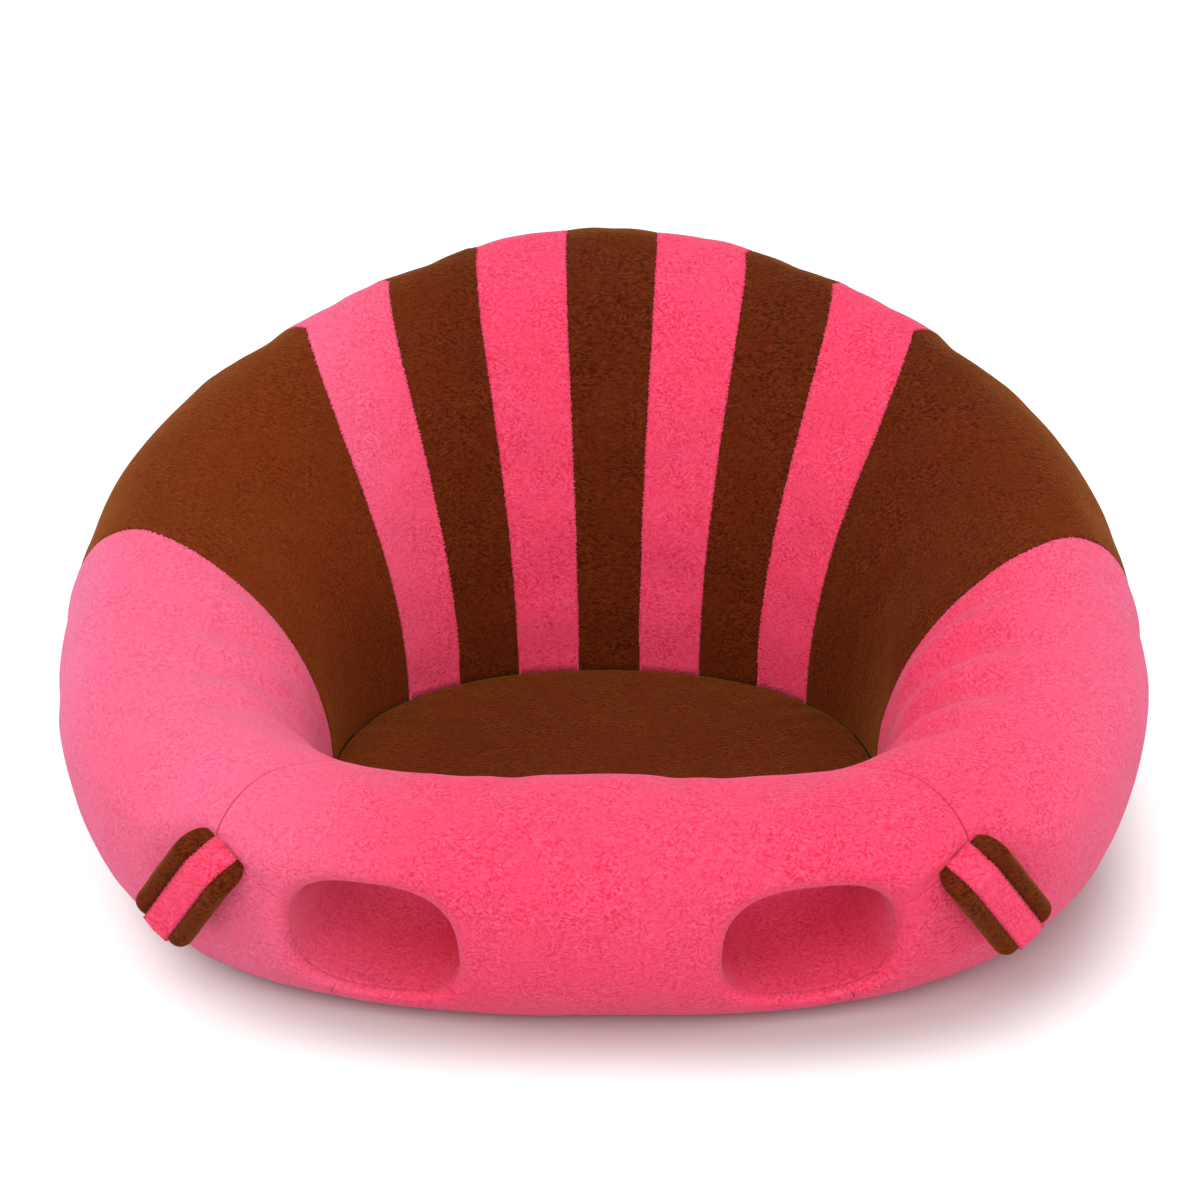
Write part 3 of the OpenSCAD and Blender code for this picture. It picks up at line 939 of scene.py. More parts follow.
@dataclass(frozen=True)
class Seams:
    """Where the seams between the panels run."""

    form: RingForm
    front: float = 40.5
    side: float = 91.0
    stripes_start: float = 131.5
    stripe_count: int = 7
    stripe_lean: float = 9.0
    front_lead: float = 2.0
    side_lead: float = 4.0
    side_lag: float = 10.0
    detour: float = 9.5
    detour_heights: Pair = (0.050, 0.084)
    a_side: int = 6

    def crest_angle(self, k: int) -> float:
        """Angle of seam k at the crest, counted from the front."""
        if k <= 2:
            return (self.front, self.side)[k - 1]
        stripe = 2 * (180 - self.stripes_start) / self.stripe_count
        return self.stripes_start + (k - 3) * stripe

    def lead(self, k: int) -> float:
        """How far seam k leans forward on its way into the basin."""
        if k <= 2:
            return (self.front_lead, self.side_lead)[k - 1]
        share = (self.crest_angle(k) - self.stripes_start) / (180 - self.stripes_start)
        return self.stripe_lean * math.cos(math.pi / 2 * share)

    def detour_at(self, height: Array) -> Array:
        """Turn of the front seam below a tab, towards the leg hole."""
        low, high = self.detour_heights
        return -self.detour * (1 - smooth((height - low) / (high - low)))

    def at(self, k: int, step: Array) -> Array:
        """Angle of seam k at steps over the section."""
        form = self.form
        u = np.clip((step - form.crest_step) / (form.last_step - form.crest_step), 0, 1)
        angle = self.crest_angle(k) - self.lead(k) * (1 - (1 - u) ** 3)
        if k == 1:
            height = form.section(np.full_like(step, self.front), step)[1]
            return angle + np.where(step > form.crest_step, 0, self.detour_at(height))
        if k == 2:
            return angle + self.side_lag * (1 - np.minimum(1, step / form.crest_step))
        return angle

    def edge(self, panel: int, step: Array) -> Array:
        """Angle of the edge between the panel before and this one."""
        if panel == 0:
            return -self.at(1, step)
        if panel <= self.a_side:
            return self.at(panel, step)
        return 360 - self.at(2 * self.a_side + 1 - panel, step)

    def edges(self, panel: int, step: Array) -> tuple[Array, Array]:
        """Angles of a panel's two edges."""
        return self.edge(panel, step), self.edge(panel + 1, step)

    def width(self, panel: int) -> float:
        """Width of a panel along the ring's widest line."""
        left, right = self.edges(panel, np.array([self.form.belly_step]))
        return float((np.radians(right - left) * self.form.outline((left + right) / 2))[0])


@dataclass(frozen=True)
class LegHole:
    """One leg hole, in a frame of its own that runs along it from the front to the basin.

    The cover is rolled in at both ends. A roll's radius has a value below and one above.

    Attributes:
        search: how far past its ends a point counts as near the hole.
        gaps: least distance outside the wall, as a share of the hole, and the largest one.
    """

    form: RingForm
    side: int
    spacing: float = 0.174
    width: float = 0.068
    height: float = 0.057
    floor: float = 0.013
    inner_floor: float = 0.026
    splay: float = 15.0
    square: float = 2.7
    front_roll: Pair = (0.006, 0.012)
    inner_roll: Pair = (0.0026, 0.0065)
    run_share: float = 0.97
    search: float = 0.055
    gaps: Pair = (-0.95, 0.5)
    halvings: int = 24

    @property
    def run(self) -> float:
        """Length of the hole."""
        return self.run_share * self.form.wall[0]

    @property
    def origin(self) -> Array:
        """Middle of the hole's mouth, on the ring's outline."""
        x = self.spacing / 2
        power = self.form.square[0]
        y = -self.form.reach[0] * (1 - (2 * x / self.form.width) ** power) ** (1 / power)
        return np.array([x * self.side, self.form.middle_y + y])

    @property
    def axes(self) -> Array:
        """The hole's own X and Y, as rows of x, y."""
        turn = math.radians(self.splay)
        across = (math.cos(turn), math.sin(turn) * self.side)
        return np.array([across, (-across[1], across[0])])

    def local(self, points: Array) -> Array:
        """Points in the hole's own frame."""
        flat = (points[..., :2] - self.origin) @ self.axes.T
        return np.concatenate([flat, points[..., 2:]], -1)

    def shape_at(self, along: Array) -> tuple[Array, Array]:
        """Height of the hole's middle, and half its height, at a distance along it."""
        floor = mix(self.floor, self.inner_floor, np.clip(along / self.run, 0, 1))
        top = self.floor + self.height
        return (floor + top) / 2, (top - floor) / 2

    def turn_and_gap(self, points: Array) -> tuple[Array, Array]:
        """Where points lie round the hole.

        Args:
            points: points in the part's frame.

        Returns:
            The angle round the hole in radians, and the distance outside its wall, which is 1
            for points away from the hole.
        """
        here = self.local(points)
        middle, half = self.shape_at(here[..., 1])
        x, z = here[..., 0], here[..., 2] - middle
        least, most = self.gaps
        low = np.full_like(x, least * float(half.min()))
        high = np.full_like(x, most)
        for _ in range(self.halvings):
            gap = (low + high) / 2
            beyond = ((np.abs(x) / (self.width / 2 + gap)) ** self.square
                      + (np.abs(z) / (half + gap)) ** self.square) > 1
            low, high = np.where(beyond, gap, low), np.where(beyond, high, gap)
        x, z = x / (self.width / 2 + gap), z / (half + gap)
        power = self.square / 2
        turn = np.arctan2(signed_power(z, power), signed_power(x, power))
        near = (here[..., 1] > -self.search) & (here[..., 1] < self.run + self.search)
        return turn, np.where(near, gap, 1.0)

    def wall_point(self, turn: Array, along: Array, gap: Value) -> Array:
        """Points round the hole, in the part's frame.

        Args:
            turn: angle round the hole, in radians.
            along: distance along the hole.
            gap: distance outside the wall.

        Returns:
            The points.
        """
        middle, half = self.shape_at(along)
        power = 2 / self.square
        x = (self.width / 2 + gap) * signed_power(np.cos(turn), power)
        z = (half + gap) * signed_power(np.sin(turn), power)
        x, y, z = np.broadcast_arrays(x, along, middle + z)
        flat = np.stack([x, y], -1) @ self.axes + self.origin
        return np.concatenate([flat, z[..., None]], -1)

    def roll(self, turn: Array, at_front: Array) -> Array:
        """Radius to which the cover is rolled in, at angles round the hole."""
        up = (np.sin(turn) + 1) / 2
        return np.where(at_front, mix(*self.front_roll, up), mix(*self.inner_roll, up))

    def mouth(self, turn: Array, gap: Array, at_front: Array) -> Array:
        """Distance along the hole at which its wall meets the ring's plain surface.

        Args:
            turn: angle round the hole, in radians.
            gap: distance outside the wall.
            at_front: whether the ring's outside is meant, and not its basin.

        Returns:
            The distance.
        """
        turn, gap, at_front = np.broadcast_arrays(turn, gap, at_front)
        low = np.where(at_front, -self.search, self.run - self.search)
        high = np.where(at_front, self.search, self.run + self.search)
        for _ in range(self.halvings):
            along = (low + high) / 2
            past = self.form.beyond_surface(self.wall_point(turn, along, gap), at_front)
            low, high = np.where(past, low, along), np.where(past, along, high)
        return (low + high) / 2

    def lip(self, start: Array, turn: Array, at_front: Array,
            share: float) -> Array:
        """Points on the roll that takes the cover from its cut edge into the hole.

        Args:
            start: points on the cut edge.
            turn: their angles round the hole, in radians.
            at_front: which of them lie at the hole's mouth.
            share: 0 at the cut edge, 1 where the roll has reached the hole's wall.

        Returns:
            The points.
        """
        radius = self.roll(turn, at_front)
        bend = math.pi / 2 * share
        gap = radius * (1 - math.sin(bend))
        inward = np.where(at_front, 1, -1) * radius * (1 - math.cos(bend))
        plain = self.wall_point(turn, self.mouth(turn, radius, at_front), radius)
        rolled = self.wall_point(turn, self.mouth(turn, gap, at_front) + inward, gap)
        return rolled + (start - plain) * (1 - share) ** 2

    def tuck(self, turn: Array, at_front: Array, depth: float) -> Array:
        """Points where the cover's edge is tucked behind the lining."""
        zero = np.zeros_like(turn)
        inward = np.where(at_front, 1, -1) * (self.roll(turn, at_front) + depth / 2)
        return self.wall_point(turn, self.mouth(turn, zero, at_front) + inward, depth)


# -------- the sewn cover


class Side(Enum):
    """Side of the seat, as seen from in front of it."""

    RIGHT = 1
    LEFT = -1

    @property
    def word(self) -> str:
        """The side in lower case."""
        return self.name.lower()


@dataclass(frozen=True)
class PanelCut:
    """One panel of the cover.

    Attributes:
        name: name of its node.
        number: its place round the ring, from the front panel over the right side.
        finish: its plush.
    """

    name: str
    number: int
    finish: Plush


def panel_cuts() -> list[PanelCut]:
    """All panels round the ring."""
    kinds = [("side_panel", PINK), ("wing_panel", BROWN), ("stripe_outer", PINK),
             ("stripe_mid", BROWN), ("stripe_inner", PINK)]
    cuts = [PanelCut("front_panel", 0, PINK), PanelCut("back_centre_panel", 6, BROWN)]
    for k, (kind, finish) in enumerate(kinds):
        cuts.append(PanelCut(f"{kind}_right", 1 + k, finish))
        cuts.append(PanelCut(f"{kind}_left", 11 - k, finish))
    return sorted(cuts, key=lambda cut: cut.number)


@dataclass(frozen=True)
class Fold:
    """A soft fold that runs up the basin's wall.

    Attributes:
        turn: angle from the front, at which it lies.
        width: its width, in degrees.
        steps: where it starts below the crest and where it ends.
        drift: degrees by which it turns back with each step, from a middle step on.
    """

    turn: float
    depth: float
    width: float = 3.1
    steps: Pair = (6.1, 9.3)
    fades: Pair = (1.3, 1.5)
    drift: float = 0.9
    middle_step: float = 7.5
    ridges: float = 0.3
    ridge_off: float = 1.9
    ridge_width: float = 1.3

    def height(self, turn: Array, step: Array) -> Array:
        """How far the cover stands out, at angles from the front and steps."""
        (low, high), (first, last) = self.steps, self.fades
        fade = smooth((step - low) / first) * (1 - smooth((step - high + last) / last))
        off = (turn - self.turn - self.drift * (step - self.middle_step)) / self.width
        ridges = sum(np.exp(-((off + side * self.ridge_off) / self.ridge_width) ** 2)
                     for side in (-1, 1))
        return self.depth * fade * (self.ridges * ridges - np.exp(-off * off))


# Column of a panel's grid that lies just inside its rolled edge
FUZZ_COLUMN = 4

# How much fuller than the plain ring the stuffing has made it, at angles from the front
BULGE_TURNS = (0, 40, 60, 80, 95, 107, 122, 136, 152, 180)
BULGE = {
    Side.LEFT: (0.0, -0.0010, -0.0026, -0.0022, 0.0026, 0.0060, 0.0052, 0.0030, 0.0012, 0.0002),
    Side.RIGHT: (0.0, -0.0005, -0.0020, -0.0018, 0.0006, 0.0030, 0.0034, 0.0027, 0.0012, 0.0002),
}

FOLDS = {
    Side.LEFT: (Fold(88, 0.0024), Fold(78, 0.0046), Fold(68, 0.0041), Fold(59, 0.0023, 2.5)),
    Side.RIGHT: (Fold(85, 0.0036), Fold(75, 0.0042), Fold(64, 0.0043), Fold(54, 0.0022, 2.4)),
}


def spline_weights(place: Array, count: int) -> Array:
    """Weights of a smooth spline through values that are zero at both ends.

    Args:
        place: places from 0 to count - 1.
        count: number of values.

    Returns:
        A matrix that takes the values to the spline's heights at the places.
    """
    cell = np.clip(np.floor(place).astype(int), 0, count - 2)
    t = place - cell
    parts = ((1 - t) ** 3, 3 * t ** 3 - 6 * t ** 2 + 4, -3 * t ** 3 + 3 * t ** 2 + 3 * t + 1,
             t ** 3)
    weights = np.zeros((len(place), count))
    for k, part in enumerate(parts):
        at = cell - 1 + k
        inside = (at >= 0) & (at < count)
        mirrored = np.where(at < 0, -at, np.where(at >= count, 2 * (count - 1) - at, at))
        np.add.at(weights, (np.arange(len(place)), mirrored), np.where(inside, part, -part) / 6)
    return weights


CLOTH = {"quality": 5, "mass": 0.3, "tension_stiffness": 15, "compression_stiffness": 15,
         "shear_stiffness": 8, "bending_stiffness": 0.6, "air_damping": 2}


@dataclass
class PressedCover:
    """Cloth simulation of the cover under the pressure of the filling.

    A coarse copy of the ring's cover is held at its seams, round its holes and on the base. It
    is cut a little large and blown up, and how far it moves along its normals is kept.

    Attributes:
        most: largest movement that counts.
        foot_free: step at which it comes free over the foot, and over how many steps.
        seat_held: step at which it is held again, and over how many steps.
    """

    form: RingForm
    seams: Seams
    holes: list[LegHole]
    cell: float = 0.0085
    rows: int = 44
    closing: int = 5
    frames: int = 20
    pressure: float = 4.0
    spare: float = 0.035
    most: float = 0.0045
    share_kept: float = 0.5
    calm: float = 0.012
    foot_free: Pair = (0.7, 0.8)
    seat_held: Pair = (9.3, 0.5)
    moved: list[Array] = field(default_factory=list)

    def columns(self, cut: PanelCut) -> int:
        """Number of cells across a panel."""
        return max(4, round(self.seams.width(cut.number) / self.cell))

    def run(self) -> None:
        """Runs the simulation."""
        steps = np.linspace(0, self.form.last_step, self.rows)
        cuts = panel_cuts()
        spans, angles = [], []
        for cut in cuts:
            left, right = self.seams.edges(cut.number, steps)
            count = self.columns(cut)
            spans.append(count)
            shares = np.arange(count)[:, None] / count
            angles.append(mix(left[None, :], right[None, :], shares))
        angle = np.concatenate(angles)
        step = np.broadcast_to(steps[None, :], angle.shape)
        cover = self.form.point(angle, step)
        normal = self.form.normal(angle, step)
        share = np.linspace(0, 1, self.closing + 2)[None, 1:-1, None]
        under = mix(cover[:, -1:, :], cover[:, :1, :], share)
        held = np.ones((len(cover), self.rows + self.closing))
        held[:, :self.rows] = self.held(cover, step)
        seam_columns = np.cumsum([0, *spans[:-1]])
        held[seam_columns] = 1
        blown = self.blow(np.concatenate([cover, under], 1), held)[:, :self.rows]
        out = np.sum((blown - cover) * normal, -1)
        log.info("cloth moved the cover by %.1f mm, give or take %.1f mm",
                 out.mean() / MM, out.std() / MM)
        starts = np.cumsum([0, *spans])
        free = 1 - held[:, :self.rows]
        for first, last in zip(starts, starts[1:]):
            loose = free[first:last]
            out[first:last] -= loose * (out[first:last] * loose).sum() / loose.sum()
        out = self.share_kept * np.clip(out, -self.most, self.most)
        out = np.concatenate([out, out[:1]])
        self.moved = [out[starts[k]:starts[k + 1] + 1] for k in range(len(cuts))]

    def held(self, cover: Array, step: Array) -> Array:
        """How firmly each point is held, from 0 to 1."""
        (low, low_over), (high, high_over) = self.foot_free, self.seat_held
        held = np.maximum(1 - smooth((step - low) / low_over), smooth((step - high) / high_over))
        for hole in self.holes:
            gap = hole.turn_and_gap(cover)[1]
            held = np.maximum(held, 1 - smooth((gap - self.calm) / self.calm))
        return held

    def blow(self, grid: Array, held: Array) -> Array:
        """Blows up a closed grid of cloth.

        Args:
            grid: points of columns and rows, both closed.
            held: how firmly each is held.

        Returns:
            The points after the simulation.
        """
        wrapped = np.concatenate([grid, grid[:, :1]], 1)
        rows, closed = grid.shape[1], Skin.of_grid(wrapped, round_columns=True)
        faces = [tuple(v // (rows + 1) * rows + v % (rows + 1) % rows for v in face)
                 for face in closed.faces]
        piece = Skin(grid.reshape(-1, 3), faces).object("cloth_run")
        group = piece.vertex_groups.new(name="held")
        for index, weight in enumerate(held.ravel()):
            group.add([index], float(weight), "REPLACE")
        cloth = piece.modifiers.new("cloth", "CLOTH")
        settings = cloth.settings
        for key, value in CLOTH.items():
            setattr(settings, key, value)
        settings.vertex_group_mass = group.name
        settings.use_pressure = True
        settings.uniform_pressure_force = self.pressure
        settings.shrink_min = settings.shrink_max = -self.spare
        settings.effector_weights.gravity = 0
        cloth.collision_settings.use_collision = False
        cloth.point_cache.frame_end = self.frames
        scene = bpy.context.scene
        for number in range(1, self.frames + 1):
            scene.frame_set(number)
        graph = bpy.context.evaluated_depsgraph_get()
        mesh = piece.evaluated_get(graph).data
        points = np.empty(len(mesh.vertices) * 3)
        mesh.vertices.foreach_get("co", points)
        scene.frame_set(1)
        data = piece.data
        bpy.data.objects.remove(piece)
        bpy.data.meshes.remove(data)
        return points.reshape(grid.shape)

    def at(self, cut: PanelCut, shares: Array, steps: Array) -> Array:
        """How far the cloth moved out, at shares across a panel and steps over the section."""
        moved = self.moved[cut.number]
        across = spline_weights(shares * (len(moved) - 1), len(moved))
        over = spline_weights(steps / self.form.last_step * (self.rows - 1), self.rows)
        return across @ moved @ over.T


@dataclass(frozen=True)
class SeamFuzz:
    """Tufts of pink pile that lie over the brown pile along their seams.

    Attributes:
        pitch: distance between tufts.
        width: width of a tuft.
        height: thickness of a tuft.
        sunk: how deep a tuft's middle lies below the plain cover.
        reach: least and most distance that a tuft reaches over the seam.
        ends: length without tufts at a seam's two ends.
        shoulders: how far a tuft's sides and its crest lie back from the seam.
    """

    pitch: float = 0.0011
    width: float = 0.0013
    height: float = 0.0007
    sunk: float = 0.0002
    reach: Pair = (0.0, 0.0011)
    ends: float = 0.012
    jitter: float = 0.3
    slant: float = 0.00035
    shoulders: Pair = (0.0003, 0.0004)

    def tufts(self, inside: Array, edge: Array, normal: Array, seed: int) -> Skin:
        """Tufts along one edge of a panel.

        Args:
            inside: line on the panel, a little inside its edge.
            edge: line at the panel's edge.
            normal: outward directions along it.
            seed: number that the tufts' unevenness starts from.

        Returns:
            All tufts, each a closed little wedge.
        """
        random = np.random.default_rng(seed)
        spots = np.arange(self.ends, walk_length(edge) - self.ends, self.pitch)
        spots = spots + random.uniform(-self.jitter, self.jitter, len(spots)) * self.pitch
        start, seam, up = spread(spots, edge, inside, edge, normal)
        ahead = seam - start
        ahead = unit(ahead - up * (ahead * up).sum(-1, keepdims=True))
        aside = np.cross(up, ahead)
        reach = random.uniform(*self.reach, (len(spots), 1))
        slant = random.normal(0, self.slant, (len(spots), 1))
        middle = seam - up * self.sunk
        half, thick = self.width / 2, self.height / 2
        side_back, crest_back = (ahead * back for back in self.shoulders)
        corners = [start - up * thick, middle + ahead * reach + aside * slant - up * thick * 0.5,
                   middle + aside * half - side_back, middle - aside * half - side_back,
                   middle + up * thick - crest_back, middle - up * thick]
        wedge = [(1, 2, 4), (1, 4, 3), (0, 4, 2), (0, 3, 4), (1, 5, 2), (1, 3, 5), (0, 2, 5),
                 (0, 5, 3)]
        count = len(corners)
        faces = [tuple(count * k + v for v in face) for k in range(len(spots)) for face in wedge]
        return Skin(np.stack(corners, 1).reshape(-1, 3), faces)


@dataclass
class PlushRing:
    """The ring's cover: twelve panels and two leg linings. The filling inside is built on its own.

    Attributes:
        held_ends: share of the section at each end over which the cover comes free.
        pucker_reach: distances from a seam at which they are full and over which they fade.
        bulge_steps: steps from which the outer face is fuller and from which it isn't.
        creases: for each set of creases its count, its start in radians and its share.
    """

    form: RingForm
    seams: Seams
    holes: list[LegHole]
    pressed: PressedCover
    tabs: list["Tab"]
    skin: float = 0.0028
    cell: float = 0.0030
    first_gap: float = 0.00035
    rows: tuple[int, int, int] = (26, 22, 60)
    pinch: float = 0.0008
    pinch_width: float = 0.020
    seam_roll: float = 0.0011
    held_ends: float = 0.04
    pucker: float = 0.0011
    pucker_size: float = 0.30
    pucker_reach: Pair = (0.004, 0.011)
    broad: tuple[Uneven, ...] = (Uneven(0.021, 0.0004, 11.0), Uneven(0.06, 0.0016, 5.0))
    tab_calm: float = 0.032
    tab_root_calm: float = 0.018
    hole_calm: float = 0.02
    fold_edge: float = 0.02
    bulge_steps: Pair = (0.8, 6.0)
    bulge_fade: float = 1.8
    lip_rows: int = 9
    tucked: float = 0.0014
    lining_cells: tuple[int, int] = (160, 44)
    crease: float = 0.0008
    creases: tuple[Triple, ...] = ((7, 0.6, 0.5), (16, 0.0, 0.3))
    lining_share: float = 0.8
    fuzz: SeamFuzz = SeamFuzz()

    def steps(self) -> Array:
        """Steps of the rows over the section."""
        form = self.form
        marks = (0.0, form.belly_step, form.crest_step, form.last_step)
        parts = [np.linspace(marks[k], marks[k + 1], self.rows[k], endpoint=False)
                 for k in range(3)]
        return np.concatenate([*parts, [form.last_step]])

    def shares(self, cut: PanelCut) -> Array:
        """Places of a panel's columns across it, from 0 to 1."""
        return sewn_spots(self.seams.width(cut.number), self.cell, self.first_gap)

    def edge_distance(self, cut: PanelCut, angle: Array, step: Array) -> Array:
        """Distance along the surface to the panel's nearer seam."""
        reach = self.form.section(angle, step)[0]
        left, right = (edge[None, :] for edge in self.seams.edges(cut.number, step[0]))
        return np.radians(np.minimum(angle - left, right - angle)) * reach

    def basin_folds(self, angle: Array, step: Array) -> Array:
        """Height of the folds in the basin's walls."""
        turn = self.form.turn(angle)
        left, right = (sum(fold.height(turn, step) for fold in FOLDS[side])
                       for side in (Side.LEFT, Side.RIGHT))
        return np.where(on_left(angle), left, right)

    def bulge(self, angle: Array, step: Array) -> Array:
        """How much fuller than the plain ring the outer face is."""
        turn = self.form.turn(angle)
        left, right = (CubicSpan(BULGE_TURNS, BULGE[side]).at(turn)
                       for side in (Side.LEFT, Side.RIGHT))
        low, high = self.bulge_steps
        outer = smooth((step - low) / self.bulge_fade) * (
            1 - smooth((step - high) / self.bulge_fade))
        return outer * np.where(on_left(angle), left, right)

    def relief(self, cut: PanelCut, shares: Array, angle: Array, step: Array,
               base: Array) -> Array:
        """How far the cover stands out from the plain ring.

        Args:
            cut: the panel.
            shares: places of its columns across it.
            angle: its grid's angles.
            step: its grid's steps.
            base: its grid's points on the plain ring.

        Returns:
            Distances along the normal.
        """
        edge = self.edge_distance(cut, angle, step)
        inside = np.clip(step / self.form.last_step, self.held_ends, 1 - self.held_ends)
        held = np.sin(np.pi * inside) ** 0.5
        wide = np.minimum(self.pinch_width, edge.max(axis=0, keepdims=True))
        tension = self.pinch * np.clip(1 - edge / wide, 0, 1) ** 2 * held
        along = np.stack([step * 0.9, np.full_like(step, cut.number * 1.0), angle * 0.02], -1)
        full, fading = self.pucker_reach
        ripple = lumps(along, self.pucker_size, 3.1) * np.exp(-edge / fading) * smooth(edge / full)
        broad = sum(uneven.at(base) for uneven in self.broad)
        puffed = self.pressed.at(cut, shares, step[0]) + broad * held + ripple * self.pucker
        calm = np.ones_like(edge)
        for tab in self.tabs:
            middle, root = (np.linalg.norm(base - tab.spot(share), axis=-1)
                            for share in (0.5, 0.0))
            calm = calm * smooth(middle / self.tab_calm - 0.3)
            tension = tension * smooth(root / self.tab_root_calm)
        for hole in self.holes:
            calm = calm * smooth(hole.turn_and_gap(base)[1] / self.hole_calm - 0.4)
        folds = self.basin_folds(angle, step) * smooth(edge / self.fold_edge + 0.2)
        return puffed * calm + self.bulge(angle, step) - tension - roll_depth(
            edge, self.seam_roll) + folds

    def grid(self, cut: PanelCut) -> Array:
        """Points of one panel's outer face, in columns across it and rows up it."""
        steps, shares = self.steps(), self.shares(cut)
        left, right = self.seams.edges(cut.number, steps)
        angle = mix(left[None, :], right[None, :], shares[:, None])
        step = np.broadcast_to(steps[None, :], angle.shape)
        base = self.form.point(angle, step)
        out = self.relief(cut, shares, angle, step, base)
        points = base + self.form.normal(angle, step) * out[..., None]
        for tab in self.tabs:
            points = tab.pressed_in(points)
        return points

    def panel(self, cut: PanelCut) -> Skin:
        """The outer face of one panel, rolled in at the leg holes."""
        skin = Skin.of_grid(self.grid(cut))
        for hole in self.holes:
            skin = self.rolled_in(skin, hole)
        return skin

    def fuzz_of(self, cut: PanelCut, grid: Array) -> list[Skin]:
        """Tufts at the seams between one pink panel and its brown neighbours."""
        cuts = panel_cuts()
        normal = unit(np.cross(np.gradient(grid, axis=0), np.gradient(grid, axis=1)))
        made = []
        for edge, inside, beyond in ((0, FUZZ_COLUMN, -1), (-1, -1 - FUZZ_COLUMN, 1)):
            neighbour = cuts[(cut.number + beyond) % len(cuts)]
            if neighbour.finish is BROWN:
                up = normal[inside]
                seam = grid[edge] + up * self.seam_roll
                made.append(self.fuzz.tufts(grid[inside], seam, up, cut.number * 2 + beyond))
        return made

    def rolled_in(self, skin: Skin, hole: LegHole) -> Skin:
        """A panel's skin, cut open at a leg hole and rolled into it."""
        turn, gap = hole.turn_and_gap(skin.points)
        at_front = hole.local(skin.points)[..., 1] < hole.run / 2
        room = gap - hole.roll(turn, at_front)
        if room.min() > 0:
            return skin
        skin, rim = skin.cut(room)
        start = skin.points[rim]
        turn = hole.turn_and_gap(start)[0]
        at_front = hole.local(start)[:, 1] < hole.run / 2
        shares = np.linspace(0, 1, self.lip_rows + 1)[1:]
        rows = [hole.lip(start, turn, at_front, float(share)) for share in shares]
        rows.append(hole.tuck(turn, at_front, self.tucked))
        return skin.extended(rim, rows)

    def lining(self, hole: LegHole) -> Skin:
        """The lining of a leg hole, from the roll at its mouth to the roll in the basin."""
        count, rows = self.lining_cells
        turn = np.linspace(-math.pi, math.pi, count, endpoint=False)
        zero = np.zeros_like(turn)
        front, inner = (hole.mouth(turn, zero, np.full(count, flag)) for flag in (True, False))
        front = front + hole.roll(turn, np.full(count, True))
        inner = inner - hole.roll(turn, np.full(count, False))
        share = 0.5 - 0.5 * np.cos(np.pi * np.linspace(0, 1, rows))
        here = mix(front[:, None], inner[:, None], share[None, :])
        end = np.minimum(here - front[:, None], inner[:, None] - here)
        waves = sum(np.sin(turn * turns + start) * part for turns, start, part in self.creases)
        belly = np.sin(np.pi * share)[None, :]
        gap = roll_depth(end, self.tucked) + waves[:, None] * self.crease * smooth(belly * 1.4)
        grid = hole.wall_point(turn[:, None], here, gap)
        return Skin.of_grid(grid, round_columns=True)

    def build(self) -> None:
        """Builds the panels and the linings, and says what they stand for."""
        tufts = []
        for cut in panel_cuts():
            piece = self.panel(cut).thickened(self.skin).object("plush_" + cut.name)
            finish_piece(piece, cut.finish, "seat", [cut.name])
            if cut.finish is PINK:
                tufts += self.fuzz_of(cut, self.grid(cut))
        finish_piece(joined(tufts).object("seam_fuzz"), PINK, "seat", [])
        for hole in self.holes:
            side = Side(hole.side)
            lining = self.lining(hole).thickened(self.skin * self.lining_share)
            piece = lining.object(f"plush_lining_{side.word}")
            finish_piece(piece, PINK, "seat", [f"leg_lining_{side.word}"])


def finish_piece(piece: bpy.types.Object, finish: Finish, body: str,
                 nodes: Sequence[str]) -> None:
    """Dresses a piece and says what it rides on and which nodes it stands for.

    Args:
        piece: the piece.
        finish: its finish.
        body: the body that it rides on, or nothing for a piece blended between two.
        nodes: nodes that it stands for.
    """
    dress(piece, finish)
    if body:
        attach(piece, body)
    if nodes:
        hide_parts(*nodes)
    log.info("%s: %d faces, stands for %s", piece.name, len(piece.data.polygons), list(nodes))


# -------- stuffing inside


@dataclass(frozen=True)
class Stuffing:
    """A hidden lump of fibre that fills the space of a CAD node.

    Attributes:
        inset: how far it stays inside the node.
        hole_gap: how far it stays outside a leg hole's wall.
    """

    node: str
    voxel: float
    inset: float
    body: str = "seat"
    hole_gap: float = 0.0045
    softened: int = 4
    uneven: Uneven = Uneven(0.03, 0.4, 2.0)

    def build(self, holes: Sequence[LegHole] = ()) -> None:
        """Builds the lump from its node's mesh, a little smaller and uneven.

        Args:
            holes: leg holes that it stays clear of.
        """
        piece = new_object("fibre_" + self.node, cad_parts[self.node].data.copy())
        remesh = piece.modifiers.new("even", "REMESH")
        remesh.mode = "VOXEL"
        remesh.voxel_size = self.voxel
        soften = piece.modifiers.new("soften", "SMOOTH")
        soften.iterations = self.softened
        graph = bpy.context.evaluated_depsgraph_get()
        mesh = bpy.data.meshes.new_from_object(piece.evaluated_get(graph))
        piece.modifiers.clear()
        piece.data = mesh
        points = np.array([v.co for v in mesh.vertices])
        normal = np.array([v.normal for v in mesh.vertices])
        points -= normal * (self.inset * (1 + self.uneven.at(points)))[:, None]
        for hole in holes:
            turn, gap = hole.turn_and_gap(points)
            near = gap < self.hole_gap
            along = hole.local(points)[near, 1]
            points[near] = hole.wall_point(turn[near], along, self.hole_gap)
        mesh.vertices.foreach_set("co", points.ravel())
        mesh.shade_smooth()
        finish_piece(piece, FIBRE, self.body, [self.node])


# -------- the seat


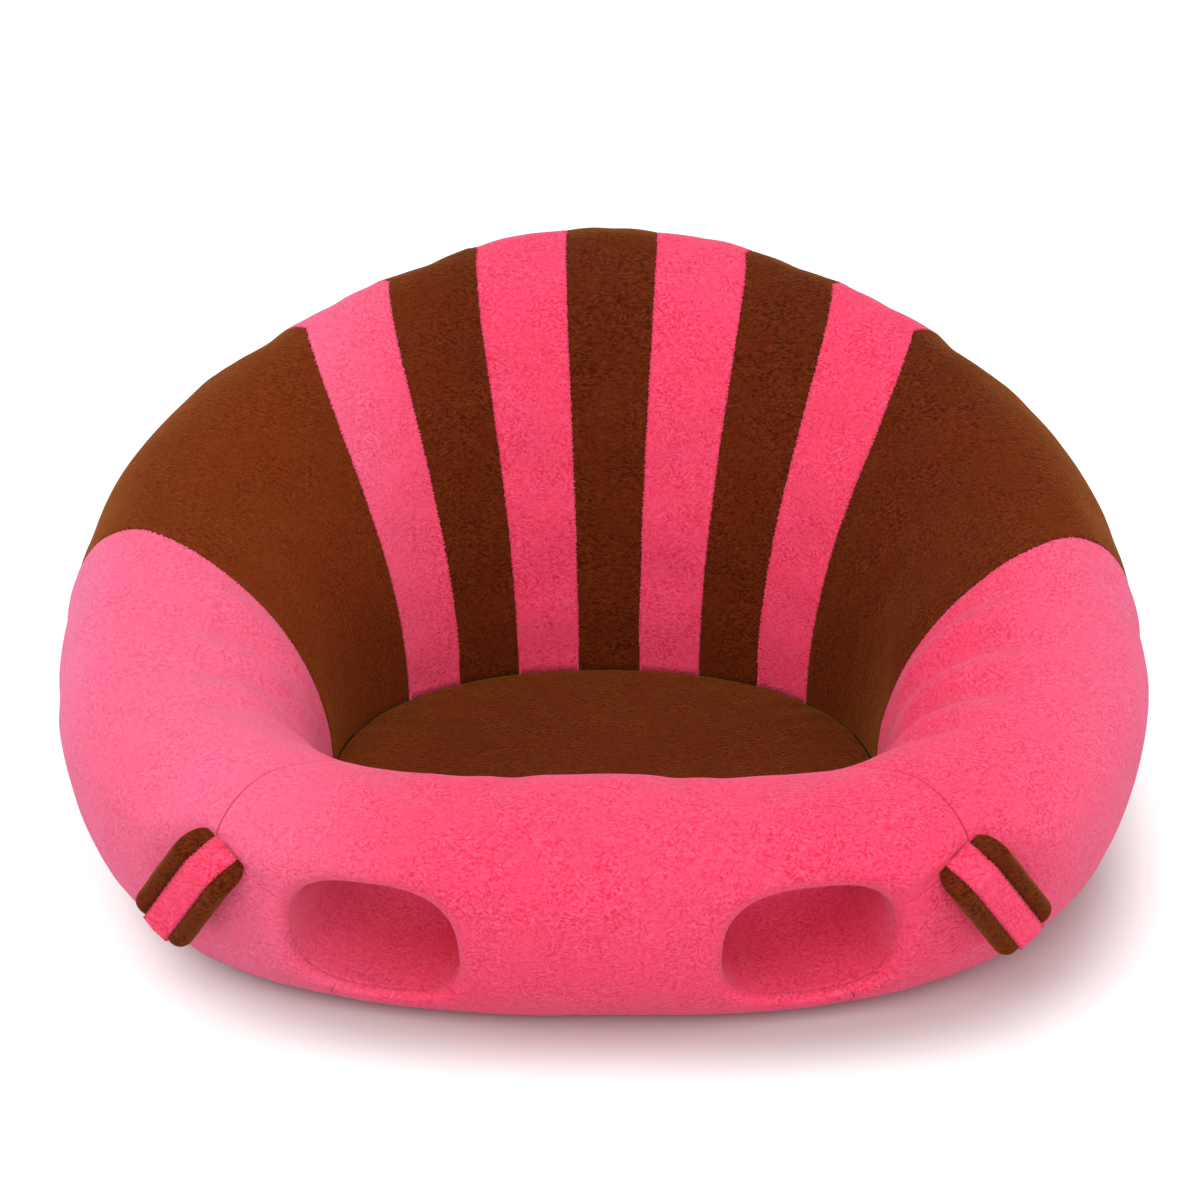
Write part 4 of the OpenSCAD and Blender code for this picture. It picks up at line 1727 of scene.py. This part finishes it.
@dataclass(frozen=True)
class SeatCover:
    """The plush cover of the seat, crowned in the middle and gathered at its seam.

    Attributes:
        snug: how far its edge reaches into the seam.
        gather_reach: distances from the seam at which they are full and over which they fade.
        hollow_half: half that hollow's width and depth from front to back.
    """

    form: RingForm
    crown: float = 0.006
    around: int = 420
    rings: int = 60
    last_ring: float = 0.012
    crowding: float = 0.9
    skin: float = 0.0028
    snug: float = 0.0008
    seam_roll: float = 0.0016
    gather: float = 0.0012
    gather_reach: Pair = (0.004, 0.018)
    hollow: float = 0.0022
    hollow_half: Pair = (0.07, 0.055)
    hollow_front: float = 0.010
    uneven: tuple[Uneven, ...] = (Uneven(0.03, 0.0007, 8.0), Uneven(0.07, 0.0012, 2.0))
    calm: float = 0.03

    def build(self) -> None:
        """Builds the cover."""
        form = self.form
        angle = np.linspace(0, 360, self.around, endpoint=False)
        rim = form.point(angle, np.full_like(angle, form.last_step))[:, :2]
        middle = np.array([0, form.middle_y])
        reach = np.linalg.norm(rim - middle, axis=1)
        share = np.linspace(1, self.last_ring, self.rings) ** self.crowding
        grown = share[None, :] * (1 + self.snug * share[None, :] ** 8 / reach[:, None])
        flat = middle + (rim - middle)[:, None, :] * grown[..., None]
        inward = reach[:, None] * (1 - share)[None, :]
        turned = np.radians(angle)
        ripple = lumps(np.stack([np.cos(turned), np.sin(turned), turned * 0], -1), 0.11, 4.0)
        height = form.seat_height + self.crown * np.sqrt(1 - share * share)[None, :]
        height = height - roll_depth(inward, self.seam_roll)
        full, fading = self.gather_reach
        height = height + (ripple[:, None] * self.gather * np.exp(-inward / fading)
                           * smooth(inward / full))
        grid = np.concatenate([flat, height[..., None]], -1)
        half_x, half_y = self.hollow_half
        sat = np.exp(-((grid[..., 0] / half_x) ** 2
                       + ((grid[..., 1] + self.hollow_front) / half_y) ** 2))
        uneven = sum(part.at(grid) for part in self.uneven)
        grid[..., 2] += uneven * smooth(inward / self.calm) - self.hollow * sat
        skin = Skin.of_grid(grid, round_columns=True)
        skin.faces.append(tuple((j + 1) * self.rings - 1 for j in range(self.around)))
        piece = skin.thickened(self.skin).object("plush_seat_cover")
        finish_piece(piece, BROWN, "seat", ["seat_cover"])


# -------- the base and its zip


@dataclass(frozen=True)
class Base:
    """The base cloth with its rubber dots, and the zip's own finishes.

    Attributes:
        dot_profile: for each ring of a dot its radius and its drop, as shares.
    """

    form: RingForm
    thickness: float = 0.0022
    lift: float = 0.0008
    edge_inset: float = 0.0012
    uneven: Uneven = Uneven(0.03, 0.0002, 1.0)
    slot: Pair = (0.103, 0.011)
    around: int = 300
    loops: int = 16
    dot: float = 0.0021
    dot_sides: int = 14
    dot_profile: tuple[Pair, ...] = ((1.0, 0.0), (0.94, 0.45), (0.7, 0.85),
                                                    (0.3, 1.0))
    dot_room: float = 0.0001
    dot_pitch: float = 0.0165
    dot_area: Pair = (0.22, 0.2)
    margin: float = 0.012

    def outline(self, angle: Array, inset: float = 0.0) -> Array:
        """Points of the base's edge."""
        rim = self.form.point(angle, np.zeros_like(angle))[:, :2]
        middle = np.array([0, self.form.middle_y])
        out = rim - middle
        reach = np.linalg.norm(out, axis=1, keepdims=True)
        return middle + out * (1 - inset / reach)

    def slot_edge(self, angle: Array) -> Array:
        """Points of the slot's edge, at the same turns as the outline."""
        ahead = np.stack([np.sin(np.radians(angle)), -np.cos(np.radians(angle))], -1)
        share = np.min(np.array(self.slot) / np.maximum(np.abs(ahead), 1e-6), axis=1)
        return ahead * share[:, None]

    def turns(self) -> Array:
        """Turns of the loops' points, which take in the slot's corners."""
        corner = math.degrees(math.atan2(*self.slot))
        marks = [0, corner, 180 - corner, 180 + corner, 360 - corner, 360]
        spans = [np.linspace(low, high, max(4, round(self.around * (high - low) / 360)),
                             endpoint=False) for low, high in zip(marks, marks[1:])]
        return np.concatenate(spans)

    def cloth(self) -> None:
        """Builds the base cloth."""
        turns = self.turns()
        share = np.linspace(0, 1, self.loops)[None, :, None]
        inner = self.slot_edge(turns)[:, None, :]
        outer = self.outline(turns, self.edge_inset)[:, None, :]
        flat = mix(inner, outer, share)
        flat = np.concatenate([flat, np.full((*flat.shape[:2], 1), self.lift)], -1)
        flat[..., 2] += self.uneven.at(flat)
        made = Skin.of_grid(flat, round_columns=True).thickened(self.thickness)
        piece = made.object("base_cloth")
        finish_piece(piece, BASE_CLOTH, "seat", ["base_panel"])

    def dots(self) -> None:
        """Builds the rubber dots under the cloth."""
        turn = circle(self.dot_sides)[:, None]
        reach, drop = np.array(self.dot_profile).T
        reach = reach * self.dot
        z = self.lift * (1 - 0.95 * drop) + self.dot_room
        half_x, half_y = self.dot_area
        count = len(reach)
        skins = []
        for k, y in enumerate(np.arange(-half_y, half_y, self.dot_pitch * math.sqrt(3) / 2)):
            for x in np.arange(-half_x, half_x, self.dot_pitch) + (k % 2) * self.dot_pitch / 2:
                if not self.takes_dot(x, y):
                    continue
                grid = np.stack(np.broadcast_arrays(
                    x + reach * np.cos(turn), y + reach * np.sin(turn), z), -1)
                dot = Skin.of_grid(grid[::-1], round_columns=True)
                cap = [j * count + count - 1 for j in range(self.dot_sides)]
                foot = [j * count for j in reversed(range(self.dot_sides))]
                dot.faces += [tuple(cap), tuple(foot)]
                skins.append(dot)
        piece = joined(skins).object("grip_dots")
        finish_piece(piece, GRIP_RUBBER, "seat", [])

    def takes_dot(self, x: float, y: float) -> bool:
        """Whether a dot fits on the cloth at a place."""
        off_slot = abs(x) > self.slot[0] + self.margin or abs(y) > self.slot[1] + self.margin
        out = np.array([x, y - self.form.middle_y])
        angle = math.degrees(math.atan2(out[0], -out[1])) % 360
        edge = self.form.section(np.array(angle), np.array(0.0))[0]
        return off_slot and float(np.hypot(*out)) < float(edge) - self.margin

    def zip_finishes(self) -> None:
        """Dresses the zip's nodes, which keep their CAD shape."""
        finishes = {"zip_placket": BASE_CLOTH, "zip_guard": BASE_CLOTH,
                    "zip_tape_front": ZIP_TAPE, "zip_tape_back": ZIP_TAPE,
                    "zip_teeth_front": ZIP_TEETH, "zip_teeth_back": ZIP_TEETH,
                    "zip_stops": ZIP_TEETH, "zip_slider": ZIP_METAL, "zip_pull": ZIP_METAL}
        for name, finish in finishes.items():
            dress(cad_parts[name], finish)

    def build(self) -> None:
        """Builds the base."""
        self.cloth()
        self.dots()
        self.zip_finishes()


# -------- the tabs


@dataclass(frozen=True)
class Tab:
    """A padded tab with a band round it, in a frame of its own.

    Its X runs across it, Y away from the ring and Z up along it, from its root in the seam. The
    pad has a roll on each side of the part that the band draws in.

    Attributes:
        band_waves: for each wave of its edges the height, the turn per point and the start.
        settling: how far it comes nearer again, from where and over what length.
        tail: width, thickness and depth of the tail.
        bend: not used; places along the tab between which it would bend when it lifts.
    """

    form: RingForm
    seams: Seams
    side: Side
    length: float = 0.0440
    width: float = 0.0284
    thickness: float = 0.011
    band_width: float = 0.0125
    band_thickness: float = 0.0018
    band_over: float = 0.0012
    band_powers: Pair = (0.25, 0.55)
    band_crown: float = 0.0007
    band_waves: tuple[Triple, ...] = ((0.012, 0.41, 0.0), (0.022, 1.9, 1.0))
    root_height: float = 0.076
    lean: float = 35.0
    tilt: float = 8.0
    twist: float = 12.0
    root: float = 0.0026
    root_round: float = 0.0058
    root_deep: float = 0.0016
    leaving: float = 0.007
    clear: float = 0.0030
    settling: Triple = (0.0010, 0.013, 0.027)
    press: float = 0.0006
    press_edge: float = 0.007
    end_round: float = 0.0050
    end_share: float = 0.99
    core: float = 0.52
    roll: float = 0.0041
    corner: float = 0.0052
    root_corner: float = 0.8
    pad_cells: tuple[int, int] = (112, 72)
    pad_ends: float = 0.004
    uneven: Pair = (0.008, 0.0004)
    band_aside: float = 0.0005
    tail: Triple = (0.018, 0.0016, 0.012)
    stitch_pitch: float = 0.0018
    stitch: Pair = (0.0017, 0.0002)
    stitched: Pair = (0.003, 0.004)
    bend: Pair = (0.001, -0.009)

    def place(self) -> Matrix:
        """The tab's own frame."""
        form = self.form
        rise = form.rise(np.array(self.seams.front))
        belly, top = mix(*form.belly, rise), mix(*form.height, rise)
        up = math.asin((self.root_height - belly) / (top - belly))
        angle = self.seams.front + float(self.seams.detour_at(np.array(self.root_height)))
        out = float(form.outline(np.array(angle)))
        crest = out - mix(*form.crest, float(form.rise(np.array(angle))))
        reach = mix(crest, out, math.cos(up))
        turn = math.radians(angle)
        root = Vector((reach * math.sin(turn), form.middle_y - reach * math.cos(turn),
                       self.root_height))
        mirror = Matrix.Diagonal((self.side.value, 1, 1, 1))
        return (mirror @ Matrix.Translation(root) @ Matrix.Rotation(math.pi + turn, 4, "Z")
                @ Matrix.Rotation(math.radians(self.tilt), 4, "X")
                @ Matrix.Rotation(math.radians(self.lean), 4, "Y")
                @ Matrix.Rotation(-math.radians(self.twist), 4, "Z"))

    def spot(self, share: float = 0.5) -> Array:
        """Point in the tab, at a share of its length."""
        return np.array(self.place() @ Vector((0, self.thickness / 2, -self.length * share)))

    def pressed_in(self, points: Array) -> Array:
        """Points of the ring's cover, pressed in where the tab lies on them."""
        place = np.array(self.place())
        x, y, z = np.moveaxis((points - place[:3, 3]) @ place[:3, :3], -1, 0)
        beyond = np.maximum(np.maximum(np.abs(x) - self.width / 2, z), -z - self.length)
        share = 1 - smooth(beyond / self.press_edge)
        limit = self.back(-z) - self.press
        return points - (share * np.maximum(0, y - limit))[..., None] * place[:3, 1]

    def back(self, down: Array) -> Array:
        """How far the tab's back stands off the ring, at a distance down it."""
        out = mix(-self.root_deep, self.clear, smooth((down + self.root) / self.leaving))
        nearer, start, length = self.settling
        return out - nearer * smooth((down - start) / length)

    def opened(self, down: Array) -> Array:
        """Share of its full thickness that the tab has, at a distance down from its root."""
        start = 1 - np.clip((down + self.root) / self.root_round, 0, 1)
        return np.sqrt(np.maximum(0, 1 - start * start))

    def half_thickness(self, down: Array) -> Array:
        """Half the thickness of the rolls at a distance down the tab."""
        end = roll_depth(self.length - down, self.end_round)
        return self.thickness / 2 * self.opened(down) - end * self.end_share

    def centre(self, down: Array) -> Array:
        """How far the tab's middle stands off the ring, at a distance down it."""
        return self.back(down) + self.thickness / 2 * self.opened(down)

    def half_width(self, down: Array) -> Array:
        """Half the tab's width at a distance down it."""
        at_root = roll_depth(down + self.root, self.corner) * self.root_corner
        return self.width / 2 - at_root - roll_depth(self.length - down, self.corner)

    def pad(self) -> Skin:
        """The padded body."""
        around, rows = self.pad_cells
        share = np.linspace(self.pad_ends, 1 - self.pad_ends, rows)
        down = mix(-self.root, self.length, 0.5 - 0.5 * np.cos(np.pi * share))
        turn = circle(around)[:, None]
        half_w, half_t = self.half_width(down)[None, :], self.half_thickness(down)[None, :]
        x = half_w * np.cos(turn)
        off = np.clip((np.abs(x) - (half_w - self.roll)) / self.roll, -1, 1)
        lobe = np.sqrt(np.maximum(0, 1 - off * off))
        flat = self.core * smooth((half_w - np.abs(x)) / self.roll)
        facing = np.sign(np.sin(turn))
        y = self.centre(down)[None, :] + facing * np.maximum(lobe, flat) * half_t
        grid = np.stack([x, y, np.broadcast_to(-down[None, :], x.shape)], -1)
        uneven = Uneven(*self.uneven, 3.0 + self.side.value).at(grid)
        grid[..., 1] += uneven * facing * smooth(half_t / 0.003)
        return self.closed(grid)

    @staticmethod
    def closed(grid: Array) -> Skin:
        """Skin of a closed grid whose rows run down, with a cap at both ends."""
        around, rows = grid.shape[:2]
        skin = Skin.of_grid(grid[::-1], round_columns=True)
        skin.faces += [tuple(j * rows for j in reversed(range(around))),
                       tuple(j * rows + rows - 1 for j in range(around))]
        return skin

    def band_path(self) -> tuple[Array, Array]:
        """Middle line of the band, as y and z, and its outward directions."""
        half_t = self.band_thickness / 2
        end = self.length + self.band_over
        reach = self.core * self.thickness / 2 + half_t
        straight = np.linspace(-self.root - 0.001, end - reach, 130)
        full = self.half_thickness(np.minimum(straight, self.length - self.end_round))
        gap = self.core * full + half_t
        bend = np.linspace(0, math.pi, 26)[1:-1]
        middle = self.centre(np.array([end - reach]))[0]
        front = np.stack([self.centre(straight) + gap, -straight], -1)
        tip = np.stack([middle + reach * np.cos(bend), -(end - reach) - reach * np.sin(bend)], -1)
        back = np.stack([self.centre(straight) - gap, -straight], -1)[::-1][:-4]
        path = np.concatenate([front, tip, back])
        ahead = unit(np.gradient(path, axis=0))
        return path, np.stack([-ahead[:, 1], ahead[:, 0]], -1)

    def band(self) -> Skin:
        """The band, which goes down the front, round the end and up the back."""
        path, out = self.band_path()
        turn = circle(24)
        flat, full = self.band_powers
        across = self.band_width / 2 * signed_power(np.cos(turn), flat)
        over = self.band_thickness / 2 * signed_power(np.sin(turn), full)
        count = np.arange(len(path))
        edge = 1 + sum(height * np.sin(count * turns + start)
                       for height, turns, start in self.band_waves)
        crown = self.band_crown * (1 - (across / across.max()) ** 2)
        x = across[:, None] * edge[None, :] + self.band_aside
        y, z = (path[None, :, k] + (over + crown)[:, None] * out[None, :, k] for k in (0, 1))
        return self.closed(np.stack([x, y, z], -1))

    def stitches(self) -> Skin:
        """Short stitches that hold the band's edges down, in a zigzag."""
        path, out = self.band_path()
        first, last = self.stitched
        places = np.arange(first, walk_length(path) - last, self.stitch_pitch)
        middle, lift = spread(places, path, path, out)
        ahead = np.stack([lift[:, 1], -lift[:, 0]], -1)
        length, radius = self.stitch
        skins = []
        share = np.linspace(-1, 1, 7)
        raise_by = self.band_thickness / 2 + 0.00015 - 0.0009 * np.maximum(0, share) ** 2
        for k, (at, up, on) in enumerate(zip(middle, lift, ahead)):
            slant = self.stitch_pitch / 4 * (1 if k % 2 else -1)
            for side in (-1, 1):
                x = side * (self.band_width / 2 - 0.0004 + share * length / 2) + self.band_aside
                y, z = (at[i] + raise_by * up[i] + slant * share * on[i] for i in (0, 1))
                skins.append(thread(np.stack([x, y, z], -1), radius))
        return joined(skins)

    def tail_skin(self) -> Skin:
        """The flat tail that is caught in the seam, inside the ring."""
        width, thick, deep = self.tail
        turn = circle(32)
        x = width / 2 * signed_power(np.cos(turn), 0.3)[:, None]
        y = thick / 2 * signed_power(np.sin(turn), 0.8)[:, None]
        inside = deep * np.linspace(0, 1, 10)[None, :]
        y = y - self.root_deep - inside
        grid = np.stack(np.broadcast_arrays(x, y, -0.3 * inside), -1)
        return self.closed(grid[::-1])

    def build(self) -> None:
        """Builds the pad, the band, its stitches and the tail that holds them in the seam."""
        place = self.place()
        word = self.side.word
        parts = ((self.pad(), "plush_tab_pad", TAB_BROWN, "plush_brown", ("tab_pad",)),
                 (self.band(), "plush_tab_band", TAB_PINK, "plush_pink", ("tab_band",)),
                 (self.stitches(), "tab_stitches", THREAD_PINK, "plush_pink", ()),
                 (self.tail_skin(), "plush_tab_tail", BROWN, "plush_brown", ("tab_tail",)))
        for skin, name, finish, slot, nodes in parts:
            made = np.concatenate([skin.points, np.ones((len(skin.points), 1))], 1)
            faces = skin.faces
            if self.side is Side.LEFT:
                faces = [tuple(reversed(face)) for face in faces]
            piece = Skin((made @ np.array(place).T)[:, :3], faces).object(f"{name}_{word}")
            on_seat = nodes == ("tab_tail",)
            if not on_seat:
                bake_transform(piece)
            stands_for = [f"{node}_{word}" for node in nodes]
            finish_piece(piece, finish, "seat" if on_seat else "", stands_for)


# -------- camera, light and floor


WHITE = (1.0, 1.0, 1.0)


@dataclass(frozen=True)
class Lamp:
    """A soft square lamp that faces the seat."""

    name: str
    place: Triple
    size: float
    power: float
    colour: Colour = WHITE

    def build(self, toward: Vector) -> None:
        """Builds the lamp, turned towards a point."""
        data = bpy.data.lights.new(self.name, "AREA")
        data.size = self.size
        data.energy = self.power
        data.color = self.colour
        lamp = new_object(self.name, data)
        lamp.location = self.place
        lamp.rotation_euler = (toward - lamp.location).to_track_quat("-Z", "Y").to_euler()


LAMPS = (
    Lamp("key", (-0.25, -1.3, 1.2), 1.0, 9.0, (1.0, 0.985, 0.97)),
    Lamp("fill", (0.6, -1.5, 0.35), 1.2, 4.5),
    Lamp("left", (-1.6, -0.2, 0.35), 0.8, 3.2),
    Lamp("right", (1.6, -0.2, 0.35), 0.8, 2.6),
    Lamp("top", (0.0, 0.4, 1.5), 1.2, 3.0),
)


@dataclass(frozen=True)
class Studio:
    """Camera, lamps, floor and background.

    Attributes:
        azimuth: turn of the camera round the seat. This and the next two are in degrees.
        focal_pixels: focal length in pixels of the photograph.
        shift_pixels: how far that point lies right of and below the picture's middle.
        floor_glow: how much it glows where it is seen white.
        floor_white: distances from the shade's middle between which the floor turns white.
        shade_middle: middle of the shade on the floor.
        sky: strength with which the background lights the seat.
    """

    target: Triple = (0.0, -0.006, 0.080)
    azimuth: float = 1.691
    elevation: float = 26.403
    roll: float = -0.325
    distance: float = 1.4
    focal_pixels: float = 3264.4
    shift_pixels: Pair = (3.34, 43.35)
    lit: Triple = (0.0, 0.0, 0.06)
    floor_half: float = 30.0
    floor_grey: float = 0.64
    floor_glow: float = 0.55
    floor_white: Pair = (0.79, 1.02)
    shade_middle: Triple = (0.018, -0.02, 0.0)
    sky: float = 0.85

    def camera(self) -> None:
        """Builds the camera."""
        data = bpy.data.cameras.new("camera")
        data.lens = self.focal_pixels / PHOTO_PIXELS * data.sensor_width
        data.shift_x = -self.shift_pixels[0] / PHOTO_PIXELS
        data.shift_y = self.shift_pixels[1] / PHOTO_PIXELS
        turn, up = math.radians(self.azimuth), math.radians(self.elevation)
        level = math.cos(up)
        back = Vector((math.sin(turn) * level, -math.cos(turn) * level, math.sin(up)))
        camera = new_object("camera", data)
        facing = (-back).to_track_quat("-Z", "Y").to_matrix().to_4x4()
        tilt = Matrix.Rotation(math.radians(self.roll), 4, "Z")
        camera.matrix_world = (Matrix.Translation(Vector(self.target) + back * self.distance)
                               @ facing @ tilt)
        bpy.context.scene.camera = camera

    def floor(self) -> None:
        """Builds the white floor, which keeps the seat's shadow."""
        half = self.floor_half
        mesh = bpy.data.meshes.new("floor")
        mesh.from_pydata([(-half, -half, 0), (half, -half, 0), (half, half, 0), (-half, half, 0)],
                         [], [(0, 1, 2, 3)])
        floor = new_object("floor", mesh)
        material, n, shader = new_material("white_floor")
        n.put(shader, Base_Color=(self.floor_grey,) * 3, Roughness=1.0, Specular_IOR_Level=0.0)
        path = n.add("LightPath").outputs
        seen = n.math("MAXIMUM", path["Is Camera Ray"], path["Is Glossy Ray"])
        white = n.ramp(self.shade_distance(n), *self.floor_white)
        strength = n.math("MULTIPLY", seen, n.math("MULTIPLY", white, self.floor_glow))
        glow = n.add("Emission", Color=WHITE, Strength=strength)
        total = n.add("AddShader")
        n.feed(total.inputs[0], shader.outputs[0])
        n.feed(total.inputs[1], glow.outputs[0])
        n.put(n.tree.nodes["Material Output"], Surface=total.outputs[0])
        mesh.materials.append(material)

    def shade_distance(self, n: Nodes) -> Socket:
        """Distance from the shade's middle, in halves of the seat's size, with square corners."""
        low, high = (np.array(corner) for corner in cad_box)
        per_half = (*(2 / (high - low))[:2], 0.0)
        off = n.vector("SUBTRACT", n.add("TexCoord").outputs["Object"], self.shade_middle)
        plain = n.vector("ABSOLUTE", n.vector("MULTIPLY", off, per_half))
        cubes = n.vector("DOT_PRODUCT", plain, n.vector("MULTIPLY", plain, plain))
        return n.math("POWER", cubes, 1 / 3)

    def world(self) -> None:
        """Builds the background, white where it is seen and plain where it lights."""
        world = bpy.data.worlds.new("studio")
        world.use_nodes = True
        n = Nodes(world.node_tree)
        path = n.add("LightPath").outputs
        seen = n.math("MAXIMUM", path["Is Camera Ray"],
                      n.math("MAXIMUM", path["Is Glossy Ray"], path["Is Transmission Ray"]))
        strength = n.math("ADD", self.sky, n.math("MULTIPLY", seen, 1 - self.sky))
        n.put(world.node_tree.nodes["Background"], Color=WHITE, Strength=strength)
        bpy.context.scene.world = world

    def build(self) -> None:
        """Builds the floor, the lamps and the background."""
        self.floor()
        self.world()
        for lamp in LAMPS:
            lamp.build(Vector(self.lit))
        bpy.context.scene.view_settings.view_transform = "Standard"


# -------- the whole seat


def main() -> None:
    """Builds the seat, part by part, and the studio round it."""
    logging.basicConfig(level=logging.INFO, format="%(name)s %(message)s")
    studio = Studio()
    studio.camera()
    form = RingForm()
    seams = Seams(form)
    holes = [LegHole(form, side.value) for side in Side]
    tabs = [Tab(form, seams, side) for side in Side]
    pressed = PressedCover(form, seams, holes)
    pressed.run()
    PlushRing(form, seams, holes, pressed, tabs).build()
    Stuffing("ring_filling", 0.006, 0.0085).build(holes)
    SeatCover(form).build()
    Stuffing("seat_pad", 0.004, 0.0006).build()
    Base(form).build()
    for tab in tabs:
        tab.build()
    studio.build()


if __name__ == "__main__":
    main()
